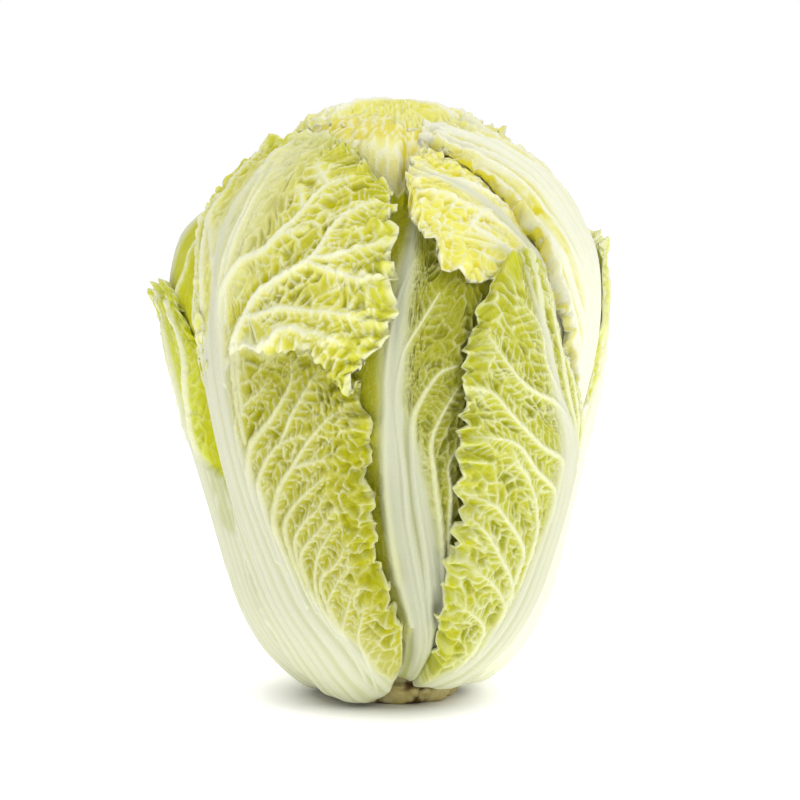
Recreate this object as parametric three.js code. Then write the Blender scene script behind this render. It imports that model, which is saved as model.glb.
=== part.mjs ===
// A head of chinese cabbage, standing on the flat cut of its stem.
// The crisp leaves grow from a conical stem and close over a dense heart. Each leaf is a thin blade with a
// thick ribbed stalk, raised veins and a waved, toothed margin. Millimetres, +Z up, the front towards -Y.
//
// A place on the head is written [azimuth, height, depth]. Azimuth is in degrees round the axis, 0 at the
// front and 90 at the right, height is in millimetres up the head's side, and depth is how far a leaf's
// outer face lies inside the head's outline.
import * as THREE from "three";

// Driving dimensions
const HEAD_HEIGHT = 270;
const HEAD_RADIUS = 96;
const CENTRE_HEIGHT = 125; // every radius is measured from this point on the axis
const LEFT_FULLNESS = 0.03; // the left side is fuller than the right by this share
const MARGIN_THICKNESS = 1.5;
const STALK_THICKNESS = 2.6; // added inside a blade at the middle of its stalk
const STALK_RISE = 2.2; // added outside it
const RIB_HEIGHT = 1.9;
const VEIN_RISE = 1.2;
const VEIN_SPACING = 3; // rows from one lateral vein to the next
const PIT_DEPTH = 1.5;
const MARGIN_WAVE = 1.1;
const MARGIN_TOOTH = 0.016; // share of a blade's half-width
const PLEAT_STEEPNESS = 0.016; // share of a leaf's length over which a pleat drops

// Where a leaf's stalk gives way to its blade, as shares of its length and of its half-width
const STALK_TAPER = 1.1; // power of the share left to the tip, by which the stalk thins
const STALK_EDGE = 1.5; // power of the share of the half-width, by which it thins sideways
const STALK_RISE_WIDTH = 0.3;
const BLADE_ALONG = [0.12, 0.45];
const BLADE_ACROSS = [0.12, 0.35];
const RIM_ACROSS = [0.75, 1];
const RIM_ALONG = [0.1, 0.3];
const RIM_TIP = [0.9, 1];
const TOOTHLESS_ROWS = 2; // at the foot of a leaf
const INNER_RELIEF = 0.8; // share of the veins and pits that the inner face follows

// The outline of the closed head, from the stem to the crown, as shares of its radius and height
const OUTLINE = [
  [0, 0.011], [0.27, 0.015], [0.4, 0.021], [0.49, 0.045], [0.625, 0.097], [0.735, 0.171], [0.813, 0.267],
  [0.885, 0.367], [0.948, 0.467], [0.99, 0.563], [1, 0.66], [0.964, 0.752], [0.875, 0.812], [0.71, 0.886],
  [0.46, 0.953], [0.23, 0.986], [0, 0.997],
];

// The cut stem
const STEM_CUT_HEIGHT = 2; // the flat cut that the head stands on
const STEM_CUT_RADIUS = 24.5;
const STEM_LEDGE_HEIGHT = 12; // the front leaves arch up to here over the stem
const STEM_TOP_HEIGHT = 26;
const STEM_CONE_DEGREES = 13.1; // half-angle of the cone that the leaves grow from, seen from the centre
const STEM_FRONT_FLARE = 3.6;
const STEM_SIDES = 40;
const STEM_RIDGES = 9;
const STEM_RIDGE_HEIGHT = 0.35;
const STEM_RIDGE_DEPTH = 0.6;
const FLARE_START = [-34, -10]; // azimuths over which the flare begins
const FLARE_END = [48, 78];

// The heart
const HEART_DEPTH = 15.4;
const HEART_BASE_DEPTH = 4.5; // added at the base, where the stalks are thick
const HEART_HOLLOW = 9.4; // how much deeper it lies behind the front leaves
const HEART_CROWN_RISE = 4.6; // how much it rises at the crown
const HEART_TIP_RISE = 8; // and at the young tips that show in front
const HEART_LEAF_STEP = 1.6;
const HEART_LEAVES = 5;
const GOLDEN_ANGLE = 137.5;
const HEART_STEP_SHARE = 0.6;
const HEART_STEP_TURN = 52; // degrees from the middle of a wrapped leaf to its margin
const HEART_STEP_WAVE = 5;
const HEART_CLEARANCE = 0.8; // above the stem
const HEART_COLUMNS = 50;
const HEART_ROWS = 26;
const HEART_TILTS = [-83, 89.5]; // degrees up from the centre, of its lowest and highest ring
const HOLLOW_START = [-54, -34]; // azimuths over which the hollow behind the front leaves begins
const HOLLOW_END = [92, 116];
const HOLLOW_TOP = [236, 262]; // heights over which it closes
const TIPS_START = [-74, -58]; // azimuths over which the young tips begin
const TIPS_END = [4, 12];
const TIPS_HEIGHT = 246; // their lowest height, which rises by so much a degree to the left and to the right
const TIPS_LEFT_SLOPE = 0.3;
const TIPS_RIGHT_SLOPE = 1.4;
const TIPS_MIDDLE = -5;
const TIPS_EDGE = 5; // heights over which they rise

const LEAVES = [
  {
    name: "leaf_left_front",
    colour: 0xd3d88a,
    cells: [5, 14, 26],
    middle: [
      [-20, 4.3, 1.2], [-29, 30, 1.5], [-41, 62, 2], [-48, 100, 2], [-52, 150, 2], [-54, 198, 2],
      [-57, 228, 2], [-45, 257, 4],
    ],
    left: [
      [-48, 4.3, 1], [-54, 28, 1.5], [-56, 56, 1.5], [-59, 90, 1.5], [-59, 130, 1.5], [-61, 165, 1.5],
      [-65, 200, 1.6], [-84, 226, 1.5], [-86, 250, 4.5],
    ],
    right: [
      [-5, 4.6, 7], [3, 24, 3], [0, 52, 3], [-6, 90, 3], [-7, 132, 3.5], [-11, 154, 4], [-3, 178, 2.5],
      [-1, 215, 2.5], [-5, 241, 4.5], [-24, 251, 5.5],
    ],
    frill: [0.4, 1],
    pleat: { at: 0.575, rise: 0.06, depth: 7.5, length: 30 },
  },
  {
    name: "leaf_right_front",
    colour: 0xd6da90,
    cells: [10, 6, 24],
    middle: [
      [24, 4.6, 7], [36, 20, 1.8], [54, 57, 2], [60, 92, 2], [58, 120, 2], [48, 147, 2], [40, 180, 2],
      [35, 209, 3],
    ],
    left: [
      [10, 4.6, 7.5], [17, 22, 3.4], [17, 50, 3], [21, 88, 3], [20, 120, 3], [18, 151, 3], [22, 186, 2.5],
      [30, 206, 2.5],
    ],
    right: [
      [45, 4.5, 4], [56, 22, 3], [67, 45, 3.8], [75, 78, 4], [77, 115, 4.3], [65, 141, 4.8],
      [49, 170, 3.6], [40, 210, 3.2],
    ],
    frill: [1, 0.3],
  },
  {
    name: "leaf_right_upper",
    colour: 0xe6e8c0,
    cells: [8, 8, 20],
    middle: [
      [62, 4.6, 11.5], [67, 28, 11.5], [78, 70, 11.5], [82, 112, 10.6], [75, 156, 6.8], [66, 202, 2.2],
      [60, 240, 1.6], [24, 264, 7],
    ],
    left: [
      [36, 4.6, 11.5], [42, 25, 11.5], [52, 65, 11.8], [58, 115, 10.6], [63, 148, 8.2], [55, 173, 6.8],
      [49, 208, 7.8], [46, 232, 8.2], [36, 250, 8.4], [13, 259, 8.4],
    ],
    right: [
      [90, 4.6, 11.5], [96, 28, 11.5], [106, 70, 11.5], [113, 112, 10.6], [116, 160, 9], [117, 205, 8],
      [112, 232, 3], [88, 251, 3.6], [70, 262, 7.6],
    ],
    frill: [0.5, 0.5],
  },
  {
    name: "leaf_top_front",
    colour: 0xdfe08a,
    cells: [8, 8, 20],
    middle: [
      [56, 6, 18.6], [60, 45, 18.6], [62, 90, 18], [62, 130, 15.8], [58, 165, 13], [50, 205, 11.4],
      [33, 238, 12.2], [2, 248, 9],
    ],
    left: [
      [47, 6, 18.6], [48, 45, 18.6], [48, 90, 18], [46, 130, 16], [40, 168, 13.5], [37, 200, 9.6],
      [22, 202, 8.6], [9, 213, 8.2], [2, 242, 8.2],
    ],
    right: [
      [70, 6, 19], [80, 45, 19], [86, 90, 18.8], [88, 130, 17], [86, 170, 14.5], [78, 222, 12],
      [50, 250, 11.5], [6, 254, 9.6],
    ],
  },
  {
    name: "leaf_centre",
    colour: 0xcbd08c,
    cells: [8, 8, 22],
    middle: [
      [9, 4.7, 11], [12, 26, 14], [6, 60, 16], [0, 102, 16.5], [-2, 150, 16.5], [0, 190, 16],
      [5, 225, 15.5], [8, 243, 15.5],
    ],
    left: [
      [-4, 4.7, 13], [-16, 30, 17], [-25, 62, 18.5], [-30, 102, 19], [-31, 150, 19], [-30, 195, 18.5],
      [-20, 228, 17.5], [-6, 244, 17],
    ],
    right: [
      [20, 4.7, 14], [36, 30, 19.5], [40, 62, 20.5], [40, 102, 20.5], [39, 150, 19.5], [37, 190, 17],
      [32, 222, 16.2], [22, 242, 16],
    ],
  },
  {
    name: "leaf_far_left",
    colour: 0xc9cf70,
    cells: [7, 7, 18],
    middle: [
      [-84, 4.3, 1.5], [-86, 28, 2], [-87, 62, 2.2], [-86, 98, 1.4], [-83, 134, -0.8], [-82, 160, -3.8],
      [-88, 184, -7.2],
    ],
    left: [
      [-124, 4.3, 0.8], [-126, 28, 1], [-127, 62, 1], [-122, 96, 0.4], [-113, 130, -2],
      [-104, 152, -6.5], [-98, 168, -10.5],
    ],
    right: [
      [-50, 4.3, 5.6], [-54, 28, 5.2], [-56, 62, 5.2], [-56, 95, 6], [-56, 125, 7], [-60, 152, 6.2],
      [-74, 180, -1.6],
    ],
    frill: [2.4, 0.3],
  },
  {
    name: "leaf_left_side",
    colour: 0xd0d37c,
    cells: [7, 7, 18],
    middle: [
      [-88, 4.3, 10.5], [-94, 30, 10.5], [-98, 70, 9.6], [-98, 120, 8.2], [-98, 160, 4.4],
      [-100, 184, -3], [-100, 203, -1.8], [-96, 226, 5], [-75, 250, 10.5],
    ],
    left: [
      [-132, 4.3, 11], [-136, 35, 11.5], [-142, 75, 11.7], [-145, 120, 11.9], [-146, 165, 11.8],
      [-147, 205, 9.5], [-143, 240, 9.5], [-110, 257, 11],
    ],
    right: [
      [-45, 4.4, 10.4], [-47, 30, 10.2], [-49, 65, 10], [-53, 115, 9.6], [-57, 165, 8.4], [-58, 205, 9],
      [-60, 232, 9.8], [-60, 246, 10.5],
    ],
    frill: [1, 0.4],
  },
  {
    name: "leaf_far_right",
    colour: 0xe8ebd0,
    cells: [7, 7, 18],
    middle: [
      [86, 4.3, 1.8], [90, 28, 2.2], [96, 62, 1.8], [99, 100, 1], [100, 140, -0.2], [100, 175, -0.6],
      [100, 207, -2],
    ],
    left: [
      [54, 4.3, 6.6], [62, 26, 6.6], [70, 62, 7.2], [75, 100, 8.2], [79, 140, 5], [82, 172, 2.8],
      [89, 208, 0.2],
    ],
    right: [
      [124, 4.3, 1], [127, 28, 1], [131, 62, 1.4], [134, 100, 1.4], [135, 140, 1.2], [132, 178, 0.6],
      [117, 205, -2],
    ],
    frill: [0.3, 1],
  },
  {
    name: "leaf_back",
    colour: 0xdfe2a8,
    cells: [9, 9, 24],
    middle: [
      [178, 4.3, 2], [180, 28, 2], [180, 65, 2.5], [180, 110, 3], [180, 155, 2.5], [180, 200, 2.2],
      [180, 235, 2.5], [180, 262, 2.5], [0, 268.6, 2], [0, 262.5, 3.2],
    ],
    left: [
      [132, 4.3, 5], [134, 28, 5.5], [130, 65, 6], [127, 110, 6], [126, 155, 6], [126, 200, 4.5],
      [124, 232, 3.5], [104, 254, 1.6], [62, 261, 2.8],
    ],
    right: [
      [226, 4.3, 5], [223, 28, 5.5], [227, 65, 6.6], [230, 110, 6.6], [230, 155, 4], [230, 200, 0.4],
      [240, 235, 1.8], [268, 257, 0.8], [302, 260.5, -0.4],
    ],
  },
];

const radians = THREE.MathUtils.degToRad;
const clamp01 = (x) => Math.min(1, Math.max(0, x));

/** Rises smoothly from 0 to 1 as x goes from a to b. */
function smooth(a, b, x) {
  const t = clamp01((x - a) / (b - a));
  return t * t * (3 - 2 * t);
}

/** A Catmull-Rom curve through points of any dimension, as a dense list of points. */
function curveThrough(points, steps) {
  const last = points.length - 1;
  const end = (a, b) => a.map((x, k) => 2 * x - b[k]);
  const p = [end(points[0], points[1]), ...points, end(points[last], points[last - 1])];
  const dense = [];
  for (let i = 1; i <= last; i++)
    for (let s = 0; s < steps; s++) {
      const t = s / steps;
      dense.push(
        p[i].map((b, k) => {
          const [a, c, d] = [p[i - 1][k], p[i + 1][k], p[i + 2][k]];
          const square = 2 * a - 5 * b + 4 * c - d;
          const cube = 3 * b - a - 3 * c + d;
          return 0.5 * (2 * b + (c - a) * t + square * t * t + cube * t ** 3);
        }),
      );
    }
  return [...dense, points[last]];
}

/** Reads a dense table of [x, y] pairs with x rising, and gives y at x. */
function lookUp(table, x) {
  let i = table.findIndex(([at]) => at > x);
  if (i < 0) i = table.length - 1;
  i = Math.max(1, i);
  const [[x0, y0], [x1, y1]] = [table[i - 1], table[i]];
  return y0 + (y1 - y0) * clamp01((x - x0) / (x1 - x0));
}

const side = curveThrough(OUTLINE.map(([r, h]) => [r * HEAD_RADIUS, h * HEAD_HEIGHT]), 16);
const tiltOf = ([r, z]) => Math.atan2(z - CENTRE_HEIGHT, r);
const RADIUS_BY_TILT = side.map((p) => [tiltOf(p), Math.hypot(p[0], p[1] - CENTRE_HEIGHT)]);
const TILT_BY_HEIGHT = side.map((p) => [p[1], tiltOf(p)]);
const HEIGHT_BY_TILT = side.map((p) => [tiltOf(p), p[1]]);

/** The head's radius from the centre in a direction, which is a unit vector. */
function headRadius(direction) {
  const tilt = Math.asin(THREE.MathUtils.clamp(direction.z, -1, 1));
  return lookUp(RADIUS_BY_TILT, tilt) * (1 - LEFT_FULLNESS * direction.x);
}

/** The unit vector that turns from the front towards the right by one angle and tilts up by another. */
function unitVector(turn, tilt) {
  return new THREE.Vector3(Math.cos(tilt) * Math.sin(turn), -Math.cos(tilt) * Math.cos(turn), Math.sin(tilt));
}

/** The direction, from the centre, of a place given by azimuth and height. */
function directionOf(azimuth, height) {
  return unitVector(radians(azimuth), lookUp(TILT_BY_HEIGHT, height));
}

/** The azimuth in degrees and the height of a direction. */
function placeOf(direction) {
  const azimuth = THREE.MathUtils.radToDeg(Math.atan2(direction.x, -direction.y));
  return { azimuth, height: lookUp(HEIGHT_BY_TILT, Math.asin(direction.z)) };
}

/** The point on the ray in a direction that lies depth inside the head's outline. */
function pointAt(direction, depth) {
  const p = direction.clone().multiplyScalar(headRadius(direction) - depth);
  p.z += CENTRE_HEIGHT;
  return p;
}

/** A path over the head by share of its length: v from 0 to 1 gives [x, y, z, depth]. */
function pathOf(places) {
  const corners = places.map(([azimuth, height, depth]) => {
    const direction = directionOf(azimuth, height);
    return [...direction.multiplyScalar(headRadius(direction)).toArray(), depth];
  });
  const dense = curveThrough(corners, 12);
  let length = 0;
  const along = dense.map((p, i) => {
    if (i) length += Math.hypot(...[0, 1, 2].map((k) => p[k] - dense[i - 1][k]));
    return length;
  });
  return (v) => [0, 1, 2, 3].map((k) => lookUp(along.map((s, i) => [s / length, dense[i][k]]), v));
}

/** The shares of a leaf's length at which its rows lie. A pleat has a row on its edge and one just below. */
function rowShares(rows, pleat) {
  const even = Array.from({ length: rows + 1 }, (_, j) => j / rows);
  if (!pleat) return even;
  const clear = even.filter((v) => Math.abs(v - pleat.at) > 0.4 / rows);
  return [...clear, pleat.at - PLEAT_STEEPNESS, pleat.at].sort((a, b) => a - b);
}

/** Bends the rows on the right half of a blade, so that one of them follows the arched edge of its pleat. */
function archedShare(v, u, pleat) {
  if (!pleat || u < 0) return v;
  const nearness = Math.exp(-(((v - pleat.at) / 0.2) ** 2));
  return v + pleat.rise * smooth(0, 0.5, u) * (1 - 0.85 * smooth(0.75, 1, u)) * nearness;
}

/** How far a pleat sinks the blade below its edge, most just under the edge. */
function pleatDepth(v, u, pleat) {
  if (!pleat || u < 0 || v >= pleat.at) return 0;
  return pleat.depth * smooth(0, 0.35, u) * Math.exp((v - pleat.at) * pleat.length / 4);
}

/**
 * A closed solid from an outer and an inner grid of points. Both faces are split into triangles alike, along
 * the lateral veins, which rise away from the column of the midrib.
 */
function shellGeometry(outer, inner, midrib) {
  const [rows, columns] = [outer.length, outer[0].length];
  const positions = [...outer, ...inner].flat().flatMap((p) => p.toArray());
  const at = (face, j, i) => (face * rows + j) * columns + i;
  const index = [];
  const quad = (a, b, c, d) => index.push(a, b, c, a, c, d);
  for (let j = 0; j + 1 < rows; j++)
    for (let i = 0; i + 1 < columns; i++)
      for (const face of [0, 1]) {
        const corners = [at(face, j, i), at(face, j, i + 1), at(face, j + 1, i + 1), at(face, j + 1, i)];
        if (i < midrib) corners.push(corners.shift());
        const [a, b, c, d] = corners;
        if (face) quad(a, d, c, b);
        else quad(a, b, c, d);
      }
  const [top, right] = [rows - 1, columns - 1];
  for (let i = 0; i < right; i++) {
    quad(at(1, 0, i), at(1, 0, i + 1), at(0, 0, i + 1), at(0, 0, i));
    quad(at(0, top, i), at(0, top, i + 1), at(1, top, i + 1), at(1, top, i));
  }
  for (let j = 0; j < top; j++) {
    quad(at(0, j, 0), at(0, j + 1, 0), at(1, j + 1, 0), at(1, j, 0));
    quad(at(1, j, right), at(1, j + 1, right), at(0, j + 1, right), at(0, j, right));
  }
  const geometry = new THREE.BufferGeometry();
  geometry.setAttribute("position", new THREE.Float32BufferAttribute(positions, 3));
  geometry.setIndex(index);
  geometry.computeVertexNormals();
  return geometry;
}

/** One leaf: ribs run up its stalk, a net of veins stands round the pits of its blade, its margin waves. */
function leafGeometry({ cells, frill = [1, 1], middle, left, right, pleat }) {
  const [leftColumns, rightColumns, rows] = cells;
  const [middlePath, leftPath, rightPath] = [pathOf(middle), pathOf(left), pathOf(right)];
  const outer = [];
  const inner = [];
  rowShares(rows, pleat).forEach((share, j) => {
    outer.push([]);
    inner.push([]);
    for (let i = -leftColumns; i <= rightColumns; i++) {
      const s = i / (i < 0 ? leftColumns : rightColumns);
      const toothed = Math.abs(s) === 1 && j > TOOTHLESS_ROWS ? (j % 2 ? 1 : -1) * MARGIN_TOOTH : 0;
      const u = s * (1 + toothed);
      const v = archedShare(share, s, pleat);
      const [m, l, r] = [middlePath(v), leftPath(v), rightPath(v)];
      const [x, y, z, depth] = m.map((a, k) => a + ((r[k] - l[k]) / 2) * u + ((r[k] + l[k]) / 2 - a) * u * u);
      const direction = new THREE.Vector3(x, y, z).normalize();
      const sideRim = smooth(...RIM_ACROSS, Math.abs(s)) * smooth(...RIM_ALONG, share);
      const rim = Math.max(sideRim, smooth(...RIM_TIP, share));
      const blade = smooth(...BLADE_ALONG, share) * smooth(...BLADE_ACROSS, Math.abs(s));
      const rib = RIB_HEIGHT * (1 - blade) * (i % 2 ? -0.5 : 0.5) * (1 - 0.7 * share);
      const onVein = (j - Math.abs(i) + rows * VEIN_SPACING) % VEIN_SPACING === 0;
      const relief = blade * (1 - rim) * (onVein ? VEIN_RISE : -PIT_DEPTH);
      const wave = frill[s < 0 ? 0 : 1] * MARGIN_WAVE * rim * ((i + j) % 2 ? 1 : -1);
      const sink = depth + pleatDepth(share, s, pleat) + wave;
      const stalk = (1 - Math.abs(s) ** STALK_EDGE) * (1 - share) ** STALK_TAPER;
      const bulge = Math.exp(-((s / STALK_RISE_WIDTH) ** 2)) * smooth(0, BLADE_ALONG[0], share);
      const rise = STALK_RISE * bulge * (1 - share);
      outer[j].push(pointAt(direction, sink - relief - rib - rise));
      const thickness = MARGIN_THICKNESS + STALK_THICKNESS * stalk;
      inner[j].push(pointAt(direction, sink - INNER_RELIEF * relief + thickness));
    }
  });
  return shellGeometry(outer, inner, leftColumns);
}

/** How deep the heart lies: deeper behind the front leaves, with young tips showing at the crown. */
function heartDepth(direction) {
  const { azimuth, height } = placeOf(direction);
  const within = smooth(...HOLLOW_START, azimuth) * (1 - smooth(...HOLLOW_END, azimuth));
  const hollow = within * (1 - smooth(...HOLLOW_TOP, height));
  const leftRise = TIPS_LEFT_SLOPE * Math.max(0, TIPS_MIDDLE - azimuth);
  const lowest = TIPS_HEIGHT + leftRise + TIPS_RIGHT_SLOPE * Math.max(0, azimuth);
  const front = smooth(...TIPS_START, azimuth) * (1 - smooth(...TIPS_END, azimuth));
  const tips = front * smooth(lowest, lowest + TIPS_EDGE, height);
  const rise = Math.max(HEART_CROWN_RISE * smooth(252, 264, height), HEART_TIP_RISE * tips);
  let steps = 0;
  for (let k = 0; k < HEART_LEAVES; k++) {
    const turn = ((azimuth - k * GOLDEN_ANGLE) % 360 + 540) % 360 - 180;
    const margin = HEART_STEP_TURN + HEART_STEP_WAVE * Math.sin(height / 7 + k);
    steps += HEART_LEAF_STEP * (Math.abs(turn) < margin ? 1 : 0) * (k / HEART_LEAVES);
  }
  const base = HEART_BASE_DEPTH * (1 - smooth(30, 120, height));
  const step = HEART_STEP_SHARE * Math.min(steps, HEART_LEAF_STEP);
  return HEART_DEPTH + base + HEART_HOLLOW * hollow - rise - step;
}

/** The heart: a closed body of tightly wrapped young leaves, whose margins stand out as steps. */
function heartGeometry() {
  const positions = [];
  const index = [];
  const [lowest, highest] = HEART_TILTS.map(radians);
  const floor = STEM_TOP_HEIGHT + HEART_CLEARANCE;
  const ring = (j) => 1 + j * HEART_COLUMNS;
  positions.push(0, 0, floor);
  for (let j = 0; j <= HEART_ROWS; j++) {
    const tilt = lowest + ((highest - lowest) * j) / HEART_ROWS;
    for (let i = 0; i < HEART_COLUMNS; i++) {
      const a = (2 * Math.PI * i) / HEART_COLUMNS;
      const direction = unitVector(a, tilt);
      const p = pointAt(direction, heartDepth(direction));
      p.z = Math.max(p.z, floor);
      positions.push(...p.toArray());
      const [next, up] = [(i + 1) % HEART_COLUMNS, ring(j + 1)];
      if (j < HEART_ROWS) {
        index.push(ring(j) + i, ring(j) + next, up + next, ring(j) + i, up + next, up + i);
      }
      if (j === 0) index.push(0, ring(0) + next, ring(0) + i);
    }
  }
  const crown = positions.length / 3;
  const top = pointAt(new THREE.Vector3(0, 0, 1), heartDepth(new THREE.Vector3(0, -0.01, 1).normalize()));
  positions.push(...top.toArray());
  for (let i = 0; i < HEART_COLUMNS; i++) {
    index.push(crown, ring(HEART_ROWS) + i, ring(HEART_ROWS) + ((i + 1) % HEART_COLUMNS));
  }
  const geometry = new THREE.BufferGeometry();
  geometry.setAttribute("position", new THREE.Float32BufferAttribute(positions, 3));
  geometry.setIndex(index);
  geometry.computeVertexNormals();
  return geometry;
}

/** The cut stem: a flat cut, a rough side that flares under the front leaves, and the cone they grow from. */
function stemGeometry() {
  const cone = (z) => (CENTRE_HEIGHT - z) * Math.tan(radians(STEM_CONE_DEGREES));
  const profile = [
    [0, STEM_CUT_HEIGHT], [STEM_CUT_RADIUS - 1.2, STEM_CUT_HEIGHT], [STEM_CUT_RADIUS, STEM_CUT_HEIGHT + 1],
    [STEM_CUT_RADIUS + 0.4, 6], [STEM_CUT_RADIUS + 0.6, STEM_LEDGE_HEIGHT - 1],
    [cone(14), STEM_LEDGE_HEIGHT + 1], [cone(STEM_TOP_HEIGHT), STEM_TOP_HEIGHT], [0, STEM_TOP_HEIGHT],
  ];
  const geometry = new THREE.LatheGeometry(profile.map(([r, z]) => new THREE.Vector2(r, z)), STEM_SIDES);
  geometry.rotateX(Math.PI / 2);
  const at = geometry.getAttribute("position");
  for (let i = 0; i < at.count; i++) {
    const [x, y, z] = [at.getX(i), at.getY(i), at.getZ(i)];
    const azimuth = THREE.MathUtils.radToDeg(Math.atan2(x, -y));
    const front = smooth(...FLARE_START, azimuth) * (1 - smooth(...FLARE_END, azimuth));
    const below = 1 - smooth(STEM_LEDGE_HEIGHT - 0.5, STEM_LEDGE_HEIGHT, z);
    const flare = STEM_FRONT_FLARE * front * below * smooth(STEM_CUT_HEIGHT, STEM_LEDGE_HEIGHT, z);
    const ridge = STEM_RIDGE_HEIGHT * Math.cos(radians(azimuth * STEM_RIDGES));
    const grooves = below * (ridge - STEM_RIDGE_DEPTH);
    const r = Math.hypot(x, y);
    const scale = r > 1 ? 1 + (flare + grooves) / STEM_CUT_RADIUS : 1;
    at.setXYZ(i, x * scale, y * scale, z);
  }
  geometry.computeVertexNormals();
  return geometry;
}

/** A named mesh with its own matt or waxy finish. */
function piece(name, geometry, color, roughness) {
  const made = new THREE.Mesh(geometry, new THREE.MeshStandardMaterial({ color, roughness, metalness: 0 }));
  made.name = name;
  return made;
}

const head = new THREE.Group();
head.add(piece("cut_stem", stemGeometry(), 0xb7a56a, 0.85));
head.add(piece("heart", heartGeometry(), 0xe3df9a, 0.5));
for (const leaf of LEAVES) head.add(piece(leaf.name, leafGeometry(leaf), leaf.colour, 0.4));

// The origin is the middle of the head's box, on the surface that it stands on.
const box = new THREE.Box3().setFromObject(head, true);
head.position.set(-(box.min.x + box.max.x) / 2, -(box.min.y + box.max.y) / 2, -box.min.z);

export default head;
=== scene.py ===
"""A head of chinese cabbage on its cut stem: crisp, ribbed, netted and ruffled leaves round a dense heart.

Lengths inside the classes are millimetres on the head's own axis. A place on the head is (azimuth, height,
depth): azimuth in degrees round the axis, 0 at the front and 90 at the right, height up the head's side, and
depth of a leaf's outer face inside the head's outline. Meshes are written in metres, in the frame of the
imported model.
"""
import logging
from dataclasses import dataclass, field
from enum import Enum
from typing import Any, Callable, Optional, Sequence

import bpy
import numpy as np
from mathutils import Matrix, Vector


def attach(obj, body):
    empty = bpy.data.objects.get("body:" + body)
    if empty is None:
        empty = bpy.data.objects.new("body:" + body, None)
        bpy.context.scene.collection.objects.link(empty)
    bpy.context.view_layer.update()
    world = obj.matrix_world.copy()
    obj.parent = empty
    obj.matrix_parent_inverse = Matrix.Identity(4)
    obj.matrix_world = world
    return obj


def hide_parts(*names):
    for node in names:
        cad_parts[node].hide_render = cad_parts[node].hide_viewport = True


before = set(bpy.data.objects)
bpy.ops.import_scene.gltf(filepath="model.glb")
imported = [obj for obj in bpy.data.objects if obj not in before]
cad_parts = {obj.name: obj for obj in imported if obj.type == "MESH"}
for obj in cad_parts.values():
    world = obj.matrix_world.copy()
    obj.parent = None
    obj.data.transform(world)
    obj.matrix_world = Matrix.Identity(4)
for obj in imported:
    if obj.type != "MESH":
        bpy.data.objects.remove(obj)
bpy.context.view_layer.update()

log = logging.getLogger("chinese_cabbage")

MM = 0.001
AXIS_OFFSET = np.array([7.6, -0.42, -2.0])  # from the head's axis and ground to the frame's origin
INNER_STEP = 4  # the inner face of a leaf has one point for so many of the outer face's, along each side
COARSE = (slice(None, None, INNER_STEP), slice(None, None, INNER_STEP))
LATTICE_PRIMES = (np.uint64(374761393), np.uint64(668265263))
MIXING_PRIMES = ((np.uint64(13), np.uint64(1274126177)), (np.uint64(15), np.uint64(2246822519)))
SEED_STEP, SEED_START = 1442695, 12345
LOW_BITS = np.uint64(0xFFFFFFFF)
NOISE_LAYERS, LAYERED_REACH = 3, 1.6
CELL_JITTER = 0.8  # how far a cell's seed point strays from its lattice place, 0 to 1
FAR = 99.0  # millimetres, for what has no vein near it
Array = np.ndarray
Place = tuple[float, float, float]


class Side(Enum):
    """A leaf's two halves, as seen from outside with its tip up."""

    LEFT = -1
    RIGHT = 1


class Slot(Enum):
    """Material slots, by name."""

    STEM = "cut_stem"
    HEART = "heart_leaf"
    GREEN = "green_leaf"
    PALE = "pale_leaf"


def smooth(start: float, end: float, x: Array) -> Array:
    """Rises from 0 to 1 as x goes from start to end, with level ends."""
    t = np.clip((x - start) / (end - start), 0.0, 1.0)
    return t * t * (3.0 - 2.0 * t)


def hashed(ix: Array, iy: Array, seed: int) -> Array:
    """A repeatable random number for each place of a lattice.

    Args:
        ix, iy: whole-numbered places.
        seed: which of the random fields.

    Returns:
        Numbers from 0 to 1.
    """
    whole_x, whole_y = (part.astype(np.int64).astype(np.uint64) for part in (ix, iy))
    h = whole_x * LATTICE_PRIMES[0] + whole_y * LATTICE_PRIMES[1]
    h = (h + np.uint64(seed * SEED_STEP + SEED_START)) & LOW_BITS
    for shift, prime in MIXING_PRIMES:
        h = ((h ^ (h >> shift)) * prime) & LOW_BITS
    return (h ^ (h >> np.uint64(16))).astype(np.float64) / float(LOW_BITS)


def noise(x: Array, y: Array, seed: int) -> Array:
    """Smooth noise: lattice values blended by the fade 6 t^5 - 15 t^4 + 10 t^3 along both axes.

    Args:
        x, y: places, in lattice steps.
        seed: which of the random fields.

    Returns:
        Values from -1 to 1.
    """
    ix, iy = np.floor(x), np.floor(y)
    fx, fy = x - ix, y - iy
    fx = fx ** 3 * (fx * (fx * 6 - 15) + 10)
    fy = fy ** 3 * (fy * (fy * 6 - 15) + 10)
    low = hashed(ix, iy, seed) * (1 - fx) + hashed(ix + 1, iy, seed) * fx
    high = hashed(ix, iy + 1, seed) * (1 - fx) + hashed(ix + 1, iy + 1, seed) * fx
    return 2 * (low * (1 - fy) + high * fy) - 1


def layered_noise(x: Array, y: Array, seed: int) -> Array:
    """Noise plus finer and weaker noise, each layer half the size and half the strength of the last."""
    return sum(noise(x * 2 ** k, y * 2 ** k, seed + k) / 2 ** k for k in range(NOISE_LAYERS)) / LAYERED_REACH


def stacked_noise(x: Array, y: Array, seed: int, layers: Sequence[tuple], start: Any = 0.0) -> Array:
    """Adds layers of noise, each (size in millimetres, strength, step of the seed), to a start."""
    return sum((strength * noise(x / size, y / size, seed + step) for size, strength, step in layers), start)


def bell(x: Array, width: Any) -> Array:
    """Falls on both sides of x = 0 from 1, as exp(-(x / width)^2)."""
    return np.exp(-((x / width) ** 2))


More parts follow.
